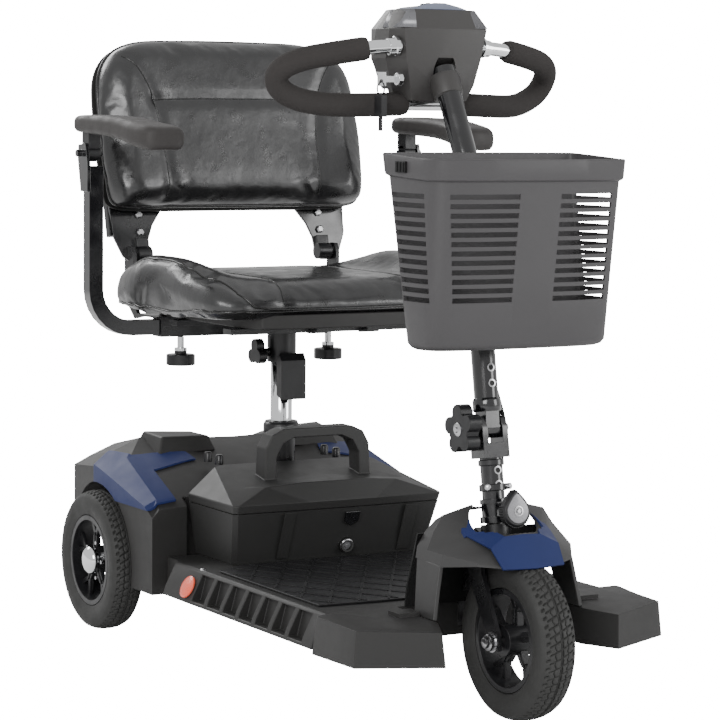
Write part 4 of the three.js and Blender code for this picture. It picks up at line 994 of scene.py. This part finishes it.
def seat_shape(p):
    """The seat's sides rise as bolsters, its wings hang a little, and its front edge falls."""
    x, y, z = np.abs(p[:, 0]), p[:, 1], p[:, 2]
    along = step(y, 410, 585) * (1 - 0.75 * step(y, 640, 768))
    upper = step(z, 484, 519)
    p[:, 2] += upper * 29 * step(x, 122, 200) * along
    p[:, 2] -= (1 - upper) * 9 * step(x, 172, 214) * along
    p[:, 2] -= upper * 15 * (1 - step(y, 402, 474)) ** 2
    p[:, 0] -= np.sign(p[:, 0]) * upper * 13 * step(x, 190, 226) * along
    return p


seat = cushion_mesh("seat_cover", both(SEAT_EDGE), SEAT_LEVELS, SEAT_MIDDLE, seat_shape, SCOOTER)
puffed(seat, 2.5)
ridge = [(198, 744, 528), (206, 690, 545), (208, 630, 553), (206, 575, 551), (199, 515, 538), (186, 462, 520),
         (168, 424, 502), (146, 404, 491), (100, 400, 487), (0, 398, 486)]
seam("seat_ridge", seat, smooth_path(both(ridge), 10), SCOOTER, "seat", radius=1.5)
lower = [(208, 744, 480), (226, 690, 476), (227, 600, 474), (226, 520, 476), (222, 460, 480), (206, 420, 482),
         (160, 404, 481), (0, 404, 480)]
seam("seat_hem", seat, smooth_path(both(lower), 10), SCOOTER, "seat", radius=2, depth=0.001)
for side, sign in SIDES:
    lines = [(sign * 112, 402, 500), (sign * 111, 420, 512), (sign * 108, 470, 522), (sign * 104, 600, 524),
             (sign * 106, 740, 522)]
    seam("seat_line_" + side, seat, smooth_path(lines, 10), SCOOTER, "seat")
finished(seat, "seat_cushion", "seat")

HINGE_Z = JOINTS["backrest_fold"]["pos_m"][2] / MM
BACK_LOW = (604 - HINGE_Z) / math.cos(BACK_LEAN)
BACK_TOP = (858 - HINGE_Z) / math.cos(BACK_LEAN)
BACK_MIDDLE = np.array((0, 190))
BACK_EDGE = [(135, BACK_LOW - 1), (200, BACK_LOW + 3), (214, BACK_LOW + 20), (215, BACK_TOP - 96),
             (207, BACK_TOP - 48), (174, BACK_TOP - 13), (104, BACK_TOP - 1)]
BACK_LEVELS = [(12, 9), (2, 10), (-1, 13), (-1, 18), (0, 24), (3, 31), (8, 38), (15, 44), (24, 48),
               (36, 50.5)]


def back_shape(p):
    """The pad is dished: its sides come forward, and its lower part swells."""
    x, height, out = p[:, 0].copy(), p[:, 1].copy(), p[:, 2].copy()
    wrap = 9 * step(np.abs(x), 90, 214) * step(out, 14, 40)
    swell = 5 * (1 - step(height, BACK_LOW, BACK_LOW + 120)) * step(out, 20, 50)
    return np.column_stack([x, -(out + wrap + swell), height])


cushion = cushion_mesh("back_cover", both(BACK_EDGE), BACK_LEVELS, BACK_MIDDLE, back_shape, BACK)
puffed(cushion, 3.0)
for side, sign in SIDES:
    lines = [(sign * 182, -60, 292), (sign * 158, -60, 268), (sign * 138, -60, 228), (sign * 128, -60, 170),
             (sign * 125, -60, 110), (sign * 124, -55, 66)]
    pressed_by_the_fold(seam("back_line_" + side, cushion, smooth_path(lines, 10), BACK, "seat_back"))
across = smooth_path([(-135, -60, 218), (-60, -60, 220), (60, -60, 220), (135, -60, 218)], 12)
pressed_by_the_fold(seam("back_line", cushion, across, BACK, "seat_back"))
rim = [(x, -24, z) for x, z in rounded_off(both(BACK_EDGE), 3)]
pressed_by_the_fold(seam("back_piping", cushion, rim + rim[:1], BACK, "seat_back", radius=2.4, depth=0.001))
finished(cushion, "back_cushion", "seat_back")
pressed_by_the_fold(cushion)

# The backrest's shell and its two legs, which lead down to the hinge.
back_shell = []
for y, inset in ((-8.8, 3), (-4, 3), (1, 10), (3, 24)):
    back_shell.append([(x, y, z) for x, z in inset_loop(both(BACK_EDGE), BACK_MIDDLE, inset)])
add("back_shell", [loft(back_shell)], "body", "seat_back", BACK, bevel=0.5, stands_for=["back_frame"])
LEG = [(104, 96), (112, 66), (128, 44), (137, 22), (139, 0), (148, -12), (166, -12), (180, -2), (192, 26),
       (197, 96)]
for side, sign in SIDES:
    leg = prism("y", [(sign * x, z) for x, z in LEG], 3.5, 8)
    barrel = [rod((sign * 139, 0, 0), (sign * 161, 0, 0), 12)]
    barrel += [box(*sorted((sign * 140, sign * 160)), -4, 8, 0, 24)]
    post = [box(*sorted((sign * 184, sign * 196)), 8, 22, 30, 130)]
    add("back_leg_" + side, [leg], "gloss", "seat_back", BACK, bevel=1)
    add("back_hinge_" + side, barrel, "frame", "seat_back", BACK, bevel=0.8)
    add("back_post_" + side, post, "frame", "seat_back", BACK, bevel=1.5)
    bolts = [turned((sign * 150, 3, z), (0, -1, 0), [(0, 6), (3, 6), (4.5, 4)], 6) for z in (34, 60)]
    add("back_bolts_" + side, bolts, "steel", "seat_back", BACK)
    nut = turned((sign * 161, 0, 0), (sign, 0, 0), [(0, 9), (2, 9), (2.2, 7), (8, 7), (9, 5)], 6)
    add("back_nut_" + side, [nut], "steel", "seat_back", BACK)

# ---------- stage ----------
# The floor and the backdrop are paler to the camera than as light, so that they meet without a line.
BACKDROP_GLOW = {"lighting": 0.85, "seen": 18.0}
FLOOR_GLOW = {"lighting": 0.0, "seen": 17.0}
FLOOR_HALF = 30


def glowing(nodes, links, strength, glow):
    """Sets a strength that differs between the camera's rays and the light they carry."""
    rays = nodes.new("ShaderNodeLightPath")
    choice = nodes.new("ShaderNodeMapRange")
    choice.inputs["To Min"].default_value = glow["lighting"]
    choice.inputs["To Max"].default_value = glow["seen"]
    links.new(rays.outputs["Is Camera Ray"], choice.inputs["Value"])
    links.new(choice.outputs["Result"], strength)


floor_mesh = bpy.data.meshes.new("floor")
corners = [(x * FLOOR_HALF, y * FLOOR_HALF, 0) for x, y in ((-1, -1), (1, -1), (1, 1), (-1, 1))]
floor_mesh.from_pydata(corners, [], [(0, 1, 2, 3)])
floor_paper, floor_nodes, floor_links = tree("floor_paper")
paper = floor_nodes["Principled BSDF"]
paper.inputs["Base Color"].default_value = (0.92, 0.92, 0.92, 1)
paper.inputs["Roughness"].default_value = 0.9
paper.inputs["Specular IOR Level"].default_value = 0.1
paper.inputs["Emission Color"].default_value = (1, 1, 1, 1)
glowing(floor_nodes, floor_links, paper.inputs["Emission Strength"], FLOOR_GLOW)
floor_mesh.materials.append(floor_paper)
floor = bpy.data.objects.new("floor", floor_mesh)
bpy.context.scene.collection.objects.link(floor)

world = bpy.data.worlds.new("studio")
world.use_nodes = True
backdrop = world.node_tree.nodes["Background"]
backdrop.inputs["Color"].default_value = (1, 1, 1, 1)
glowing(world.node_tree.nodes, world.node_tree.links, backdrop.inputs["Strength"], BACKDROP_GLOW)
bpy.context.scene.world = world

TARGET = Vector((0, 0, 0.45))


def softbox(name, place, size, power):
    light = bpy.data.lights.new(name, "AREA")
    light.shape = "RECTANGLE"
    light.size, light.size_y = size
    light.energy = power
    obj = bpy.data.objects.new(name, light)
    obj.location = place
    obj.rotation_euler = (TARGET - Vector(place)).to_track_quat("-Z", "Y").to_euler()
    bpy.context.scene.collection.objects.link(obj)


softbox("key_light", (-2.4, -2.4, 1.9), (1.6, 1.6), 75)
softbox("fill_light", (2.4, -2.6, 1.3), (1.4, 1.8), 45)
softbox("back_light", (-0.6, 2.8, 2.2), (2.4, 1.0), 55)

# ---------- camera ----------
CAMERA = {"place": (-1.822, -2.776, 0.766), "azimuth": -29.81, "pitch": 5.43, "roll": 0.592, "lens": 134.258}
azimuth, pitch, roll = (math.radians(CAMERA[key]) for key in ("azimuth", "pitch", "roll"))
level_right = Vector((math.cos(azimuth), math.sin(azimuth), 0))
level_ahead = Vector((-math.sin(azimuth), math.cos(azimuth), 0))
forward = level_ahead * math.cos(pitch) - Vector((0, 0, math.sin(pitch)))
level_up = level_right.cross(forward)
right = level_right * math.cos(roll) + level_up * math.sin(roll)
up = level_up * math.cos(roll) - level_right * math.sin(roll)
lens = bpy.data.cameras.new("camera")
lens.lens = CAMERA["lens"]
lens.sensor_width = 36
lens.dof.use_dof = False
camera = bpy.data.objects.new("camera", lens)
bpy.context.scene.collection.objects.link(camera)
turn = Matrix((right, up, -forward)).transposed().to_4x4()
camera.matrix_world = Matrix.Translation(Vector(CAMERA["place"]) + Vector((0, AXLE.y, 0))) @ turn
bpy.context.scene.camera = camera
